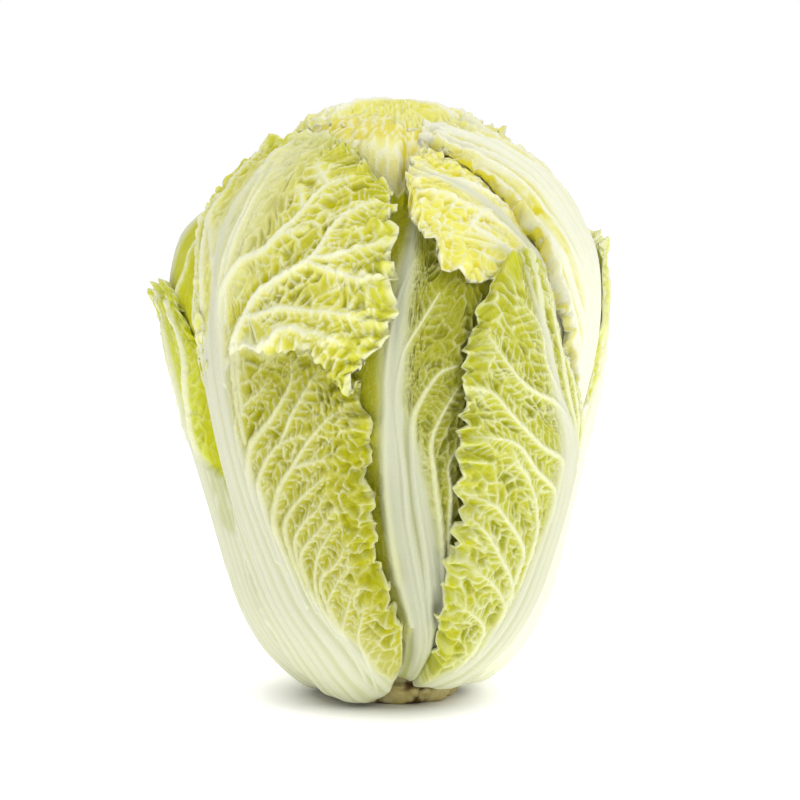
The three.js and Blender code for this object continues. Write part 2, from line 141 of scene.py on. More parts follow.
def cell_net(x: Array, y: Array, seed: int) -> tuple[Array, Array]:
    """The net between cells grown round jittered lattice points.

    Args:
        x, y: places, in cells.
        seed: which of the nets.

    Returns:
        For each place, the distance to the nearest wall between two cells, and its cell's random number.
    """
    ix, iy = np.floor(x), np.floor(y)
    rays = []
    for dx in (-2, -1, 0, 1, 2):
        for dy in (-2, -1, 0, 1, 2):
            gx, gy = ix + dx, iy + dy
            rx = gx + 0.5 + CELL_JITTER * (hashed(gx, gy, seed) - 0.5) - x
            ry = gy + 0.5 + CELL_JITTER * (hashed(gx, gy, seed + 77) - 0.5) - y
            rays.append((rx, ry, hashed(gx, gy, seed + 99)))
    square = np.stack([rx * rx + ry * ry for rx, ry, _ in rays])
    nearest = np.argmin(square, axis=0)
    near_x, near_y, tone = (np.take_along_axis(np.stack(part), nearest[None], 0)[0] for part in zip(*rays))
    wall = np.full(x.shape, 9.0)
    for rx, ry, _ in rays:
        gap_x, gap_y = rx - near_x, ry - near_y
        gap = np.hypot(gap_x, gap_y)
        reach = (0.5 * (near_x + rx) * gap_x + 0.5 * (near_y + ry) * gap_y) / np.maximum(gap, 1e-6)
        wall = np.where(gap > 1e-6, np.minimum(wall, reach), wall)
    return wall, tone


def curve_through(points: Array, steps: int) -> Array:
    """A Catmull-Rom curve through points of any dimension.

    Args:
        points: the points, one a row.
        steps: how many steps it takes from one point to the next.

    Returns:
        The curve's points, one a row.
    """
    p = np.concatenate([[2 * points[0] - points[1]], points, [2 * points[-1] - points[-2]]])
    t = (np.arange(steps) / steps)[None, :, None]
    a, b, c, d = (p[k:len(p) - 3 + k, None, :] for k in range(4))
    square, cube = 2 * a - 5 * b + 4 * c - d, 3 * b - a - 3 * c + d
    dense = 0.5 * (2 * b + (c - a) * t + square * t ** 2 + cube * t ** 3)
    return np.concatenate([dense.reshape(-1, points.shape[1]), points[-1:]])


@dataclass
class HeadForm:
    """The closed outline of the head, which every leaf's depth is measured from."""

    height: float = 270.0
    radius: float = 96.0
    centre_height: float = 125.0
    left_fullness: float = 0.03
    outline: tuple = (
        (0, 0.011), (0.27, 0.015), (0.4, 0.021), (0.49, 0.045), (0.625, 0.097), (0.735, 0.171),
        (0.813, 0.267), (0.885, 0.367), (0.948, 0.467), (0.99, 0.563), (1, 0.66), (0.964, 0.752),
        (0.875, 0.812), (0.71, 0.886), (0.46, 0.953), (0.23, 0.986), (0, 0.997),
    )
    tilts: Array = field(init=False)
    radii: Array = field(init=False)
    heights: Array = field(init=False)

    def __post_init__(self) -> None:
        """Tabulates the outline's radius and height by its tilt, as seen from the centre."""
        side = curve_through(np.array(self.outline, float) * [self.radius, self.height], 16)
        rise = side[:, 1] - self.centre_height
        self.tilts = np.arctan2(rise, side[:, 0])
        self.radii = np.hypot(side[:, 0], rise)
        self.heights = side[:, 1]

    def direction(self, azimuth: Array, height: Array) -> Array:
        """Looks from the centre to places on the outline.

        Args:
            azimuth: degrees round the axis.
            height: millimetres up the side.

        Returns:
            Unit vectors.
        """
        tilt = np.interp(height, self.heights, self.tilts)
        a = np.radians(azimuth)
        return np.stack([np.cos(tilt) * np.sin(a), -np.cos(tilt) * np.cos(a), np.sin(tilt)], -1)

    def reach(self, direction: Array) -> Array:
        """The outline's distance from the centre along unit vectors, larger towards the left."""
        tilt = np.arcsin(np.clip(direction[..., 2], -1, 1))
        return np.interp(tilt, self.tilts, self.radii) * (1 - self.left_fullness * direction[..., 0])

    def place(self, direction: Array) -> tuple[Array, Array]:
        """The azimuth in degrees and the height of unit vectors."""
        azimuth = np.degrees(np.arctan2(direction[..., 0], -direction[..., 1]))
        return azimuth, np.interp(np.arcsin(direction[..., 2]), self.tilts, self.heights)

    def point(self, direction: Array, depth: Array) -> Array:
        """The points that lie depth inside the outline along unit vectors."""
        return direction * (self.reach(direction) - depth)[..., None] + [0, 0, self.centre_height]

    def path(self, places: Sequence[Place], share: Array) -> Array:
        """Reads a smooth path over the head.

        Args:
            places: the places that it runs through.
            share: shares of its length.

        Returns:
            x, y and z from the centre, and depth, for each share.
        """
        table = np.array(places, float)
        direction = self.direction(table[:, 0], table[:, 1])
        corners = np.concatenate([direction * self.reach(direction)[:, None], table[:, 2:]], 1)
        dense = curve_through(corners, 12)
        along = np.concatenate([[0], np.cumsum(np.linalg.norm(np.diff(dense[:, :3], axis=0), axis=1))])
        return np.stack([np.interp(share, along / along[-1], dense[:, k]) for k in range(4)], -1)


HEAD = HeadForm()


@dataclass(frozen=True)
class Laterals:
    """The lateral veins of half a leaf.

    Each runs up in one of the strands beside the midrib, leaves it at its own share of the length, and bows
    out to the margin: its share of the half-width is strand place + rest * ((v - start) / reach) ^ bend.
    """

    side: Side
    first: float
    last: float
    count: int
    reach: float = 0.24
    bend: float = 1.45
    bundle: float = 0.3
    strands: int = 5
    width: float = 1.5
    rise: float = 1.5
    forks: int = 1


@dataclass(frozen=True)
class Rib:
    """A vein or a crease that tapers along a path of its own, of (share across, share along) places."""

    path: tuple
    width: float = 1.8
    rise: float = 2.0
    end: float = 0.15  # share of its width and rise at its end
    root: float = 0.12  # how much of the leaf's length it runs on down the bundle beside the midrib


@dataclass(frozen=True)
class Net:
    """The raised net of small veins between the laterals, and the pits in its cells."""

    cell: float = 6.5
    rise: float = 0.7
    width: float = 0.5
    pit: float = 1.3
    lean: float = 35.0  # degrees that the cells lean outwards
    stretch: float = 1.25
    finer: float = 2.2  # how many cells of the finer net go into one, along each side
    pale: float = 0.6  # how far its lines take the veins' colour
    calm: float = 0.0  # share of the half-width where it fades, above the middle of the leaf
    left: float = 1.0  # strength on the left half
    right: float = 1.0


@dataclass(frozen=True)
class Margin:
    """A waved, crumpled and toothed margin: depth of the waves on the left, on the right and at the tip."""

    left: float = 1.6
    right: float = 1.6
    tip: float = 1.6
    wave: float = 15.0
    tooth: float = 1.8
    crumple: float = 0.9
    inset: float = 0.72  # share of the half-width where the ruffle begins
    press_left: float = 0.0  # how far the last of the margin is pressed onto the leaf beneath
    press_right: float = 0.0
    press_tip: float = 0.0


@dataclass(frozen=True)
class Pleat:
    """A pleat across the right half of a blade: the part above it folds down over a pocket."""

    at: float
    rise: float
    depth: float
    length: float
    steepness: float = 0.016
    overhang: float = 0.02
    lip: float = 3.0  # how far its edge stands out


@dataclass(frozen=True)
class LeafShape:
    """Everything that sets one leaf's form."""

    name: str
    node: str
    slot: Slot
    seed: int
    columns: tuple[int, int]
    rows: int
    middle: tuple
    left: tuple
    right: tuple
    laterals: tuple
    white_left: tuple
    white_right: tuple
    net: Net = Net()
    margin: Margin = Margin()
    ribs: tuple = ()
    creased: tuple = ()
    pleat: Optional[Pleat] = None
    focus: float = 0.0  # rows are crowded towards the tip by this much
    flutes: float = 0.8
    flute_width: float = 6.4
    creases: float = 0.0
    lumps: float = 1.2


@dataclass
class LeafSurface:
    """One leaf as two grids of points, with the values that its finish reads."""

    shape: LeafShape
    margin_thickness: float = 1.1
    blade_thickness: float = 2.5
    stalk_thickness: float = 2.4
    stalk_rise: float = 2.2
    path_steps: int = 6
    path_room: int = 26  # rows and columns round a path that it can reach
    barb_spacing: float = 4.6
    barb_length: float = 11.0
    barb_width: float = 0.62
    barb_lean: float = 0.7
    last_reach: float = 0.8  # reach of the last lateral vein of a half, as a share of the first one's
    fork_width: float = 0.65
    fork_rise: float = 0.7
    teeth: tuple = ((9, 0.7, 16), (4, 0.7, 2), (1.9, 0.45, 31))  # layers of noise, as are the next two
    warp_across: tuple = ((9, 3.4, 3), (3, 1.0, 19))
    warp_along: tuple = ((9, 3.4, 4), (3, 1.0, 20))
    tone_size: float = 34.0
    lump_size: float = 20.0
    fold_pitch: float = 17.0  # radians that the folds of the left half turn by across it
    sag: float = 1.1  # how far the blade sinks between its veins

    def grid(self) -> tuple[Array, Array]:
        """Shares across, -1 to 1 from the left margin to the right, and along, 0 to 1 from stalk to tip."""
        left, right = self.shape.columns
        across = np.concatenate([np.linspace(-1, 0, left + 1)[:-1], np.linspace(0, 1, right + 1)])
        t = np.linspace(0, 1, self.shape.rows + 1)
        along = t + self.shape.focus * t * (1 - t)
        return np.meshgrid(across, along)

    def folded(self, v: Array, s: Array) -> tuple[Array, Array]:
        """Bends the rows along an arched pleat.

        The rows follow the pleat's edge. Just below the edge the blade turns back up behind it, so that it
        hangs over the pocket, and the pocket's depth fades below by an exponential.

        Args:
            v, s: shares along and across.

        Returns:
            The bent shares along, and how far each point sinks.
        """
        pleat = self.shape.pleat
        if pleat is None:
            return v, np.zeros_like(v)
        side = smooth(0.24, 0.5, s)
        frill = 0.012 * noise(s * 12, s * 0, 5) + 0.006 * noise(s * 31, s * 0, 6)
        arch = pleat.rise * smooth(0, 0.5, s) * (1 - 0.85 * smooth(0.75, 1, s))
        nearness = bell(v - pleat.at, 0.2)
        frill = frill * smooth(0.3, 0.55, s) * bell(v - pleat.at, 0.03)
        foot = pleat.at - pleat.steepness
        t = np.clip((v - foot) / pleat.steepness, 0, 1)
        away = np.maximum(foot - v, v - pleat.at).clip(0)
        turn = pleat.overhang * side * (1 - 2 * t) * np.exp(-away / 0.035)
        sink = np.where(v < foot, np.exp((v - pleat.at) * pleat.length / 4), 1 - smooth(0, 1, t))
        lip = pleat.lip * side * bell(v - pleat.at - 0.012, 0.022) * (v >= foot)
        return v + arch * nearness + frill + turn, pleat.depth * side * sink - lip

    def lip(self, share: Array, s: Array) -> Array:
        """Marks the pale edge of the pleat, from the midrib to the middle of the half-blade.

        Args:
            share, s: shares along and across.

        Returns:
            Marks from 0 to 1.
        """
        pleat = self.shape.pleat
        if pleat is None:
            return np.zeros_like(s)
        return smooth(0.02, 0.1, s) * (1 - smooth(0.35, 0.6, s)) * bell(share - pleat.at - 0.004, 0.009)

    def vein_field(self, s: Array, v: Array, x: Array, y: Array) -> tuple[Array, Array, Array]:
        """Heights and marks of the lateral veins.

        A vein stands up by rise * exp(-(distance / width)^2), and the distance is the sideways gap to it
        times the cosine of its slope.

        Args:
            s, v: shares across and along.
            x, y: millimetres across, from the midrib, and along.

        Returns:
            Height, mark from 0 to 1, and distance to the nearest vein.
        """
        rng = np.random.default_rng(self.shape.seed)
        left = self.shape.columns[0]
        shares, length = v[:, left], y[:, left]
        row = np.arange(len(shares))
        height, mark, nearest = np.zeros_like(s), np.zeros_like(s), np.full_like(s, FAR)

        def draw(side: Side, line: Array, live: Array, width: Array, rise: Array) -> None:
            """Adds one vein.

            Args:
                side: the half that it is on.
                line: its share of the half-width, for each row.
                live: whether it is there, for each row.
                width, rise: its size, for each row.
            """
            columns = self.shape.columns[0 if side is Side.LEFT else 1]
            at = left + side.value * np.clip(line, 0, 1) * columns
            low = np.clip(np.floor(at).astype(int), 0, s.shape[1] - 2)
            centre = x[row, low] * (1 + low - at) + x[row, low + 1] * (at - low)
            slope = np.gradient(centre, length + row * 1e-6)
            gap = np.abs(x - centre[:, None]) / np.sqrt(1 + np.clip(slope, -40, 40) ** 2)[:, None]
            gap = np.where(live[:, None], gap, FAR)
            wide, tall = width[:, None], rise[:, None]
            np.maximum(height, bell(gap, wide) * tall, out=height)
            np.maximum(mark, (1 - smooth(0.7, 1.45, gap / wide)) * smooth(0.1, 0.7, tall), out=mark)
            np.minimum(nearest, gap + 3 * (1 - smooth(0.0, 0.5, tall)), out=nearest)

        for group in self.shape.laterals:
            for k in range(group.count):
                part = k / max(1, group.count - 1)
                start = group.first + (group.last - group.first) * part + rng.uniform(-0.008, 0.008)
                strand = np.ceil((1 - part) * group.strands) / group.strands
                held = 0.03 + group.bundle * strand + rng.uniform(-0.008, 0.008)
                last_reach = self.last_reach * group.reach
                reach = (group.reach + (last_reach - group.reach) * part) * rng.uniform(0.88, 1.12)
                bend = group.bend * rng.uniform(0.92, 1.12)
                t = (shares - start) / reach
                wobble = 0.025 * noise(shares * 24, shares * 0 + 3.7 * k, self.shape.seed + 5)
                line = held + (1 - held) * np.clip(t, 0, 1.5) ** bend + wobble * smooth(0, 0.3, t)
                fade = np.clip(1 - 0.6 * t, 0.15, 1)
                width = group.width * rng.uniform(0.8, 1.2) * fade * (0.75 + 0.25 * smooth(-0.4, 0.1, t))
                rise = group.rise * fade * (1 - smooth(0.8, 1.04, line)) * (0.5 + 0.5 * smooth(-0.5, 0.0, t))
                draw(group.side, line, (line < 1.02) & (t < 1.15), width, rise)
                for fork in range(group.forks):
                    from_t = rng.uniform(0.25, 0.42) if fork % 2 else rng.uniform(0.42, 0.66)
                    from_v = start + reach * from_t
                    from_s = held + (1 - held) * from_t ** bend
                    steep = rng.uniform(0.4, 0.6) if fork % 2 else rng.uniform(1.3, 1.9)
                    fork_t = (shares - from_v) / (reach * (1 - from_t) * steep)
                    fork_line = from_s + (1 - from_s) * np.clip(fork_t, 0, 1.5) ** 1.2
                    fork_fade = np.clip(1 - 0.6 * fork_t, 0.15, 1) * (1 - 0.55 * from_t)
                    fork_fade = fork_fade * (1 - smooth(0.75, 1.04, fork_line))
                    live = (fork_t > -0.01) & (fork_line < 1.02)
                    draw(group.side, fork_line, live, self.fork_width * group.width * fork_fade,
                         self.fork_rise * group.rise * fork_fade)
        return height, mark, nearest

    def traced(self, bare: Array, share: Array, path: tuple) -> tuple[tuple, Array, Array, float]:
        """Measures the surface against a path on it.

        Args:
            bare: the surface's points.
            share: their shares along.
            path: places of (share across, share along).

        Returns:
            The window of rows and columns round the path, in it each point's distance in millimetres and the
            share of the path that it is nearest to, and the path's length.
        """
        left, right = self.shape.columns
        line = curve_through(np.array(path, float), self.path_steps)
        column = left + line[:, 0] * np.where(line[:, 0] < 0, left, right)
        row = np.interp(line[:, 1], share[:, left], np.arange(len(share)))
        c = np.clip(column.astype(int), 0, bare.shape[1] - 2)
        r = np.clip(row.astype(int), 0, bare.shape[0] - 2)
        a, b = np.clip(column - c, 0, 1)[:, None], np.clip(row - r, 0, 1)[:, None]
        points = (bare[r, c] * (1 - a) + bare[r, c + 1] * a) * (1 - b)
        points = points + (bare[r + 1, c] * (1 - a) + bare[r + 1, c + 1] * a) * b
        window = tuple(slice(max(0, k.min() - self.path_room), k.max() + self.path_room) for k in (r, c))
        near = bare[window]
        gap, at = np.full(near.shape[:2], FAR), np.zeros(near.shape[:2])
        for k in range(len(points) - 1):
            chord = points[k + 1] - points[k]
            t = np.clip((near - points[k]) @ chord / max(chord @ chord, 1e-9), 0, 1)
            apart = np.linalg.norm(near - points[k] - t[..., None] * chord, axis=-1)
            at = np.where(apart < gap, (k + t) / (len(points) - 1), at)
            gap = np.minimum(gap, apart)
        return window, gap, at, float(np.linalg.norm(np.diff(points, axis=0), axis=1).sum())

    def add_ribs(self, bare: Array, share: Array, ridge: Array, vein: Array, vein_gap: Array) -> Array:
        """Adds the ribs with paths of their own to the fields of height, mark and distance.

        Args:
            bare: the surface's points.
            share: their shares along.
            ridge, vein, vein_gap: the fields, which it changes.

        Returns:
            The marks of the small veins that leave these ribs on both sides, like barbs.
        """
        barbs = np.zeros_like(share)
        for rib in self.shape.ribs:
            path = rib.path
            if rib.root:
                start_s, start_v = path[0]
                foot = ((0.86 * start_s, start_v - rib.root), (0.93 * start_s, start_v - 0.4 * rib.root))
                path = (*foot, *path)
            window, gap, at, length = self.traced(bare, share, path)
            taper = (1 + (rib.end - 1) * at ** 1.2) * (0.5 + 0.5 * smooth(0, 0.3, at))
            wide, tall = rib.width * taper, rib.rise * taper
            ridge[window] = np.maximum(ridge[window], tall * bell(gap, wide))
            drawn = (1 - smooth(0.6, 1.5, gap / wide)) * smooth(0.05, 0.5, tall)
            vein[window] = np.maximum(vein[window], drawn)
            stray = 0.3 * noise(gap / 4, at * length / 6, int(length))
            phase = (at * length - self.barb_lean * gap) / self.barb_spacing + stray
            apart = (phase - np.floor(phase) - 0.5) * self.barb_spacing
            along = smooth(0.12, 0.3, at) * (1 - smooth(0.985, 0.995, at))
            barb = bell(apart, self.barb_width) * (1 - smooth(0.4, 1, gap / self.barb_length)) * along
            mine = gap < vein_gap[window]
            barbs[window] = np.where(mine, barb, barbs[window])
            vein_gap[window] = np.minimum(vein_gap[window], gap)
        return barbs

    def valleys(self, bare: Array, share: Array) -> tuple[Array, Array]:
        """Follows the creases with paths of their own.

        Args:
            bare: the surface's points.
            share: their shares along.

        Returns:
            Depths, and marks from 0 to 1, along which shade is painted.
        """
        depth, mark = np.zeros_like(share), np.zeros_like(share)
        for crease in self.shape.creased:
            window, gap, at, _ = self.traced(bare, share, crease.path)
            taper = smooth(0, 0.15, at) * (1 - smooth(0.8, 1.0, at) * (1 - crease.end))
            ragged = crease.width * (1 + 0.5 * noise(gap / 3 + at * 14, at * 9, self.shape.seed + 61))
            well = bell(gap, ragged) * taper
            depth[window] = np.maximum(depth[window], crease.rise * well)
            mark[window] = np.maximum(mark[window], smooth(0.1, 0.7, well))
        return depth, mark

    def whiteness(self, s: Array, share: Array) -> tuple[Array, Array]:
        """Colours the stalk, inside a width that narrows towards the tip.

        Args:
            s, share: shares across and along.

        Returns:
            How far the white of the stalk shows, and the cream beside it.
        """
        tables = (self.shape.white_left, self.shape.white_right)
        edges = [np.interp(share, *np.array(table, float).T) for table in tables]
        edge = np.where(s < 0, *edges) * (1 + 0.12 * noise(share * 26, s * 3, self.shape.seed + 21))
        stalk = 1 - smooth(-0.06, 0.1, np.abs(s) - edge)
        stalk = np.maximum(stalk, 1 - smooth(0.01, 0.07, share * (0.6 + np.abs(s))))
        beside = 1 - smooth(0.0, 0.45 - 0.3 * smooth(0.1, 0.4, share), np.abs(s) - edge)
        return stalk, 0.7 * beside

    def placed(self, v: Array, u: Array) -> tuple[Array, Array]:
        """Carries the leaf's three paths across by a parabola through them.

        Args:
            v, u: shares along and across.

        Returns:
            Unit vectors from the centre, and depths.
        """
        paths = (self.shape.middle, self.shape.left, self.shape.right)
        middle, left, right = (HEAD.path(places, v) for places in paths)
        u = u[..., None]
        raw = middle + (right - left) / 2 * u + ((right + left) / 2 - middle) * u * u
        return raw[..., :3] / np.linalg.norm(raw[..., :3], axis=-1, keepdims=True), raw[..., 3]

    def measured(self, bare: Array) -> tuple[Array, Array]:
        """Measures the bare surface.

        Args:
            bare: its grid of points.

        Returns:
            Millimetres across from the midrib, and along from the base.
        """
        step_x = np.linalg.norm(np.diff(bare, axis=1), axis=2)
        x = np.concatenate([np.zeros((len(bare), 1)), np.cumsum(step_x, axis=1)], 1)
        x -= x[:, self.shape.columns[0]][:, None]
        step_y = np.linalg.norm(np.diff(bare, axis=0), axis=2)
        return x, np.concatenate([np.zeros((1, bare.shape[1])), np.cumsum(step_y, axis=0)], 0)

    def net_lines(self, s: Array, x: Array, y: Array) -> tuple[Array, Array, Array, Array]:
        """Lays the warped net over the blade, leaning outwards on both halves.

        Args:
            s: shares across.
            x, y: millimetres across and along.

        Returns:
            Distances to the net and to the finer net in it, each cell's random tone, and the net's boldness.
        """
        net, seed = self.shape.net, self.shape.seed * 10
        lean = np.radians(net.lean) * np.clip(s * 4, -1, 1)
        wx = stacked_noise(x, y, seed, self.warp_across, x)
        wy = stacked_noise(x, y, seed, self.warp_along, y)
        across = (wx * np.cos(lean) - wy * np.sin(lean)) / net.cell
        along = (wx * np.sin(lean) + wy * np.cos(lean)) / (net.cell * net.stretch)
        wall, tone = cell_net(across, along, seed + 5)
        fine_wall, _ = cell_net(across * net.finer + 7, along * net.finer, seed + 6)
        bold = 0.3 + 0.7 * smooth(-0.35, 0.35, noise(x / 3.4, y / 3.4, seed + 18))
        return wall * net.cell, fine_wall * net.cell / net.finer, tone, bold

    def build(self) -> tuple[Array, Array, dict[str, Array]]:
        """Works out the leaf.

        Returns:
            The outer grid of points, the coarser inner grid, and the finish values on the outer grid.
        """
        shape, net, margin = self.shape, self.shape.net, self.shape.margin
        seed = shape.seed * 10
        s, share = self.grid()
        off = np.abs(s)
        v, sink = self.folded(share, s)
        bare = HEAD.point(*self.placed(v, s))
        x, y = self.measured(bare)

        half = np.where(s < 0, -x[:, :1], x[:, -1:])
        side_rim = smooth(margin.inset, 1, off) * smooth(0.05, 0.2, share)
        tip_rim = smooth(0.9, 1, share)
        rim = np.maximum(side_rim, tip_rim)
        run = np.where(tip_rim > side_rim, x, y + 40 * np.sign(s))
        tooth = stacked_noise(run, x * 0, seed, self.teeth)
        u = s * (1 + tooth * margin.tooth * side_rim ** 3 / np.maximum(half, 8))
        cut = 1 - np.maximum(tooth + 0.3, 0) * margin.tooth * tip_rim ** 3 / np.maximum(y[-1:], 8)
        direction, depth = self.placed(v * cut, u)

        stalk, beside = self.whiteness(s, share)
        blade = 1 - stalk
        ridge, vein, vein_gap = self.vein_field(s, share, x, y)
        barbs = self.add_ribs(bare, share, ridge, vein, vein_gap)
        valley_depth, valley_mark = self.valleys(bare, share)
        wall, fine_wall, tone, bold = self.net_lines(s, x, y)
        power = blade * np.where(s < 0, net.left, net.right) * (1 - 0.5 * smooth(0.93, 1, off))
        cream = (1 - smooth(net.calm - 0.3, net.calm + 0.15, off)) * smooth(0.6, 0.74, share)
        power = power * (1 - 0.6 * cream)
        line_width = net.width * (0.8 + 0.5 * noise(x / 7, y / 7, seed + 14))
        coarse_line = np.maximum(bold * bell(wall, line_width), 0.9 * barbs)
        edge = np.maximum(smooth(0.965, 1, off), smooth(0.99, 1, share))
        edge = 0.75 * blade * edge * (1 - valley_mark)
        vein = np.maximum(vein, np.maximum(edge, self.lip(share, s)))
        fine_line = bell(fine_wall, 0.6 * net.width)
        gap = np.minimum(np.maximum(vein_gap - 1, 0), wall + 0.3)
        pit = 1 - bell(gap, 0.25 * net.cell)
        pit = pit * (0.3 + 1.1 * tone ** 2)

        wave = stacked_noise(run, x * 0, seed, ((margin.wave / 2, 1.0, 8), (margin.wave / 4.4, 0.5, 11)))
        reach = np.maximum(np.where(s < 0, margin.left, margin.right) * side_rim, margin.tip * tip_rim)
        curl = 1.4 * noise(run / 2.7, s * 6, seed + 17) * smooth(0.35, 1, rim)
        ruffle = (wave + curl) * reach
        valley = np.abs(noise(x / 7 + 0.6 * wave, y / 6, seed + 15))
        valley = valley + 0.35 * np.abs(noise(x / 3, y / 3, seed + 16))
        crumple_zone = np.maximum(smooth(0.62, 0.95, off) * smooth(0.05, 0.2, share), smooth(0.85, 1, share))
        crumple_zone = crumple_zone * blade
        crumple = margin.crumple * (2.6 * valley - 0.9) * crumple_zone
        fold_line = s + 0.22 * noise(share * 5, s * 0, seed + 12)
        fold = np.sin(fold_line * self.fold_pitch + share * 6)
        fold = fold * smooth(0.55, 0.85, share) * smooth(-0.05, -0.5, s)
        groove = np.cos(2 * np.pi * x / shape.flute_width + 1.6 * noise(share * 3, s * 2, seed + 9))
        flutes = shape.flutes * groove * stalk * smooth(0.0, 0.1, share) * (1 - np.clip(1.2 * vein, 0, 1))
        lumps = shape.lumps * layered_noise(x / self.lump_size, y / self.lump_size, seed + 7) * blade
        press = np.where(s < 0, margin.press_left, margin.press_right) * smooth(0.8, 1, off)
        press = np.maximum(press, margin.press_tip * smooth(0.91, 1, share))
        sag = press + self.sag * (1 - bell(vein_gap, 6)) * blade * (1 - rim)
        rise = self.stalk_rise * bell(s, 0.3) * smooth(0, 0.12, share) * (1 - share)
        form = rise + lumps + ruffle + 0.6 * crumple + shape.creases * fold - sink - sag - 0.7 * valley_depth
        relief = ridge * (1 - 0.6 * tip_rim) + flutes + 0.4 * crumple - 0.3 * valley_depth
        relief = relief + power * (net.rise * np.maximum(coarse_line, 0.4 * fine_line) - net.pit * pit)
        outer = HEAD.point(direction, depth - form - relief)

        body = (1 - off ** 1.5) * (1 - share) ** 1.1
        bulk = self.margin_thickness + (self.blade_thickness - self.margin_thickness) * (1 - rim)
        under = depth - form + bulk + self.stalk_thickness * body
        inner = HEAD.point(direction[COARSE], under[COARSE])

        # Painted shade: the folds' valleys, the crumpled valleys and the traced creases take the crease
        # colour.
        creased = np.clip(-fold * shape.creases / 2, 0, 1) + crumple_zone * smooth(0.34, 0.05, valley)
        creased = np.maximum(creased, 1.2 * valley_mark * (1 - 0.8 * vein))
        above = 0.0 if shape.pleat is None else 2 * smooth(-0.02, 0.02, share - shape.pleat.at) - 1
        shoulder = np.where(above > 0, 0.8, 0.3) * bell(vein_gap, 2.0)
        slow = layered_noise(x / self.tone_size, y / self.tone_size, seed + 13)
        values = {
            "vein": np.maximum(vein, net.pale * power * coarse_line),
            "fine": power * bell(fine_wall, 0.8 * net.width),
            "pit": power * pit,
            "stalk": stalk,
            # painted shade in creases and on the stalk's lowest fifth; the stalk is also darker in its flute
            # grooves
            "crease": creased + stalk * (
                0.6 * smooth(0.2, -0.8, groove) * (1 - vein) + 0.4 * smooth(0.2, 0, share)),
            # the slow random tone, with painted shade below a pleat and painted light above it
            "tone": 0.5 + 0.5 * slow - 0.35 * above,
            "rim": rim,
            # painted shade: the pocket under a pleat, and the blade below the pleat
            "hollow": np.maximum(smooth(1.5, 6.5, sink), 0.6 * blade * (above < 0)),
            "open": smooth(1.0, 7.0, vein_gap) * blade,
            "cream": np.maximum(np.maximum(cream, beside), shoulder),
        }
        values = {key: np.clip(value, 0, 1) for key, value in values.items()}
        return outer, inner, values | {"leaf_x": x, "leaf_y": y}


def add_mesh(name: str, points: Array, loops: Array, counts: Array) -> bpy.types.Object:
    """Makes a smooth-shaded mesh.

    Args:
        name: the object's name.
        points: places in millimetres on the head's axis.
        loops: the faces' corners, one face after another.
        counts: how many corners each face has.

    Returns:
        The new object.
    """
    mesh = bpy.data.meshes.new(name)
    mesh.vertices.add(len(points))
    mesh.vertices.foreach_set("co", ((points + AXIS_OFFSET) * MM).astype(np.float32).ravel())
    mesh.loops.add(len(loops))
    mesh.loops.foreach_set("vertex_index", loops.astype(np.int32))
    mesh.polygons.add(len(counts))
    mesh.polygons.foreach_set("loop_start", np.concatenate([[0], np.cumsum(counts)[:-1]]).astype(np.int32))
    mesh.polygons.foreach_set("loop_total", counts.astype(np.int32))
    mesh.polygons.foreach_set("use_smooth", np.ones(len(counts), bool))
    mesh.update(calc_edges=True)
    mesh.validate()
    made = bpy.data.objects.new(name, mesh)
    bpy.context.collection.objects.link(made)
    return made


def set_values(piece: bpy.types.Object, values: dict[str, Array]) -> None:
    """Writes finish values onto a mesh's points.

    Args:
        piece: the object.
        values: the values of each float attribute.
    """
    for name, value in values.items():
        layer = piece.data.attributes.new(name, "FLOAT", "POINT")
        layer.data.foreach_set("value", value.astype(np.float32).ravel())


def closed_leaf(name: str, outer: Array, inner: Array, values: dict[str, Array]) -> bpy.types.Object:
    """Joins a fine outer grid and a coarse inner grid into one closed blade.

    The rim is made of fans: each coarse edge of the inner border meets INNER_STEP fine edges of the outer
    border.

    Args:
        name: the piece's name.
        outer, inner: grids of points.
        values: finish values on the outer grid; the inner face takes those of the points above it.

    Returns:
        The new object.
    """
    rows, columns = outer.shape[:2]
    inner_rows, inner_columns = inner.shape[:2]
    fine = np.arange(rows * columns).reshape(rows, columns)
    coarse = rows * columns + np.arange(inner_rows * inner_columns).reshape(inner_rows, inner_columns)
    face = np.stack([fine[:-1, :-1], fine[:-1, 1:], fine[1:, 1:], fine[1:, :-1]], -1).reshape(-1, 4)
    back = np.stack([coarse[:-1, :-1], coarse[1:, :-1], coarse[1:, 1:], coarse[:-1, 1:]], -1).reshape(-1, 4)

    def border(grid: Array) -> Array:
        """The grid's border once round, along the base first."""
        return np.concatenate([grid[0, :-1], grid[:-1, -1], grid[-1, :0:-1], grid[:0:-1, 0]])

    fine_border, coarse_border = border(fine), border(coarse)
    k = np.arange(len(fine_border))
    end = np.roll(fine_border, -1)
    below = coarse_border[k // INNER_STEP]
    after = np.roll(coarse_border, -1)[k // INNER_STEP]
    early = k % INNER_STEP < INNER_STEP // 2
    fans = np.stack([fine_border, np.where(early, below, after), end], -1)
    turn = k % INNER_STEP == INNER_STEP // 2
    bridges = np.stack([fine_border[turn], below[turn], after[turn]], -1)
    triangles = np.concatenate([fans, bridges])
    loops = np.concatenate([face.ravel(), back.ravel(), triangles.ravel()])
    counts = np.concatenate([np.full(len(face) + len(back), 4), np.full(len(triangles), 3)])
    piece = add_mesh(name, np.concatenate([outer.reshape(-1, 3), inner.reshape(-1, 3)]), loops, counts)
    both = {key: np.concatenate([value.ravel(), value[COARSE].ravel()]) for key, value in values.items()}
    set_values(piece, both)
    return piece


def arithmetic(operation: str, swap: bool = False) -> Callable[["Value", Any], "Value"]:
    """Makes a method that joins a value and another value or number by one Math node.

    Args:
        operation: the node's operation.
        swap: whether the other one comes first.

    Returns:
        The method.
    """
    def joined(first: "Value", other: Any) -> "Value":
        """The value of the new node."""
        pair = (other, first) if swap else (first, other)
        made = first.bench.node("ShaderNodeMath", {"operation": operation}, dict(enumerate(pair)))
        return Value(first.bench, made.outputs[0])

    return joined


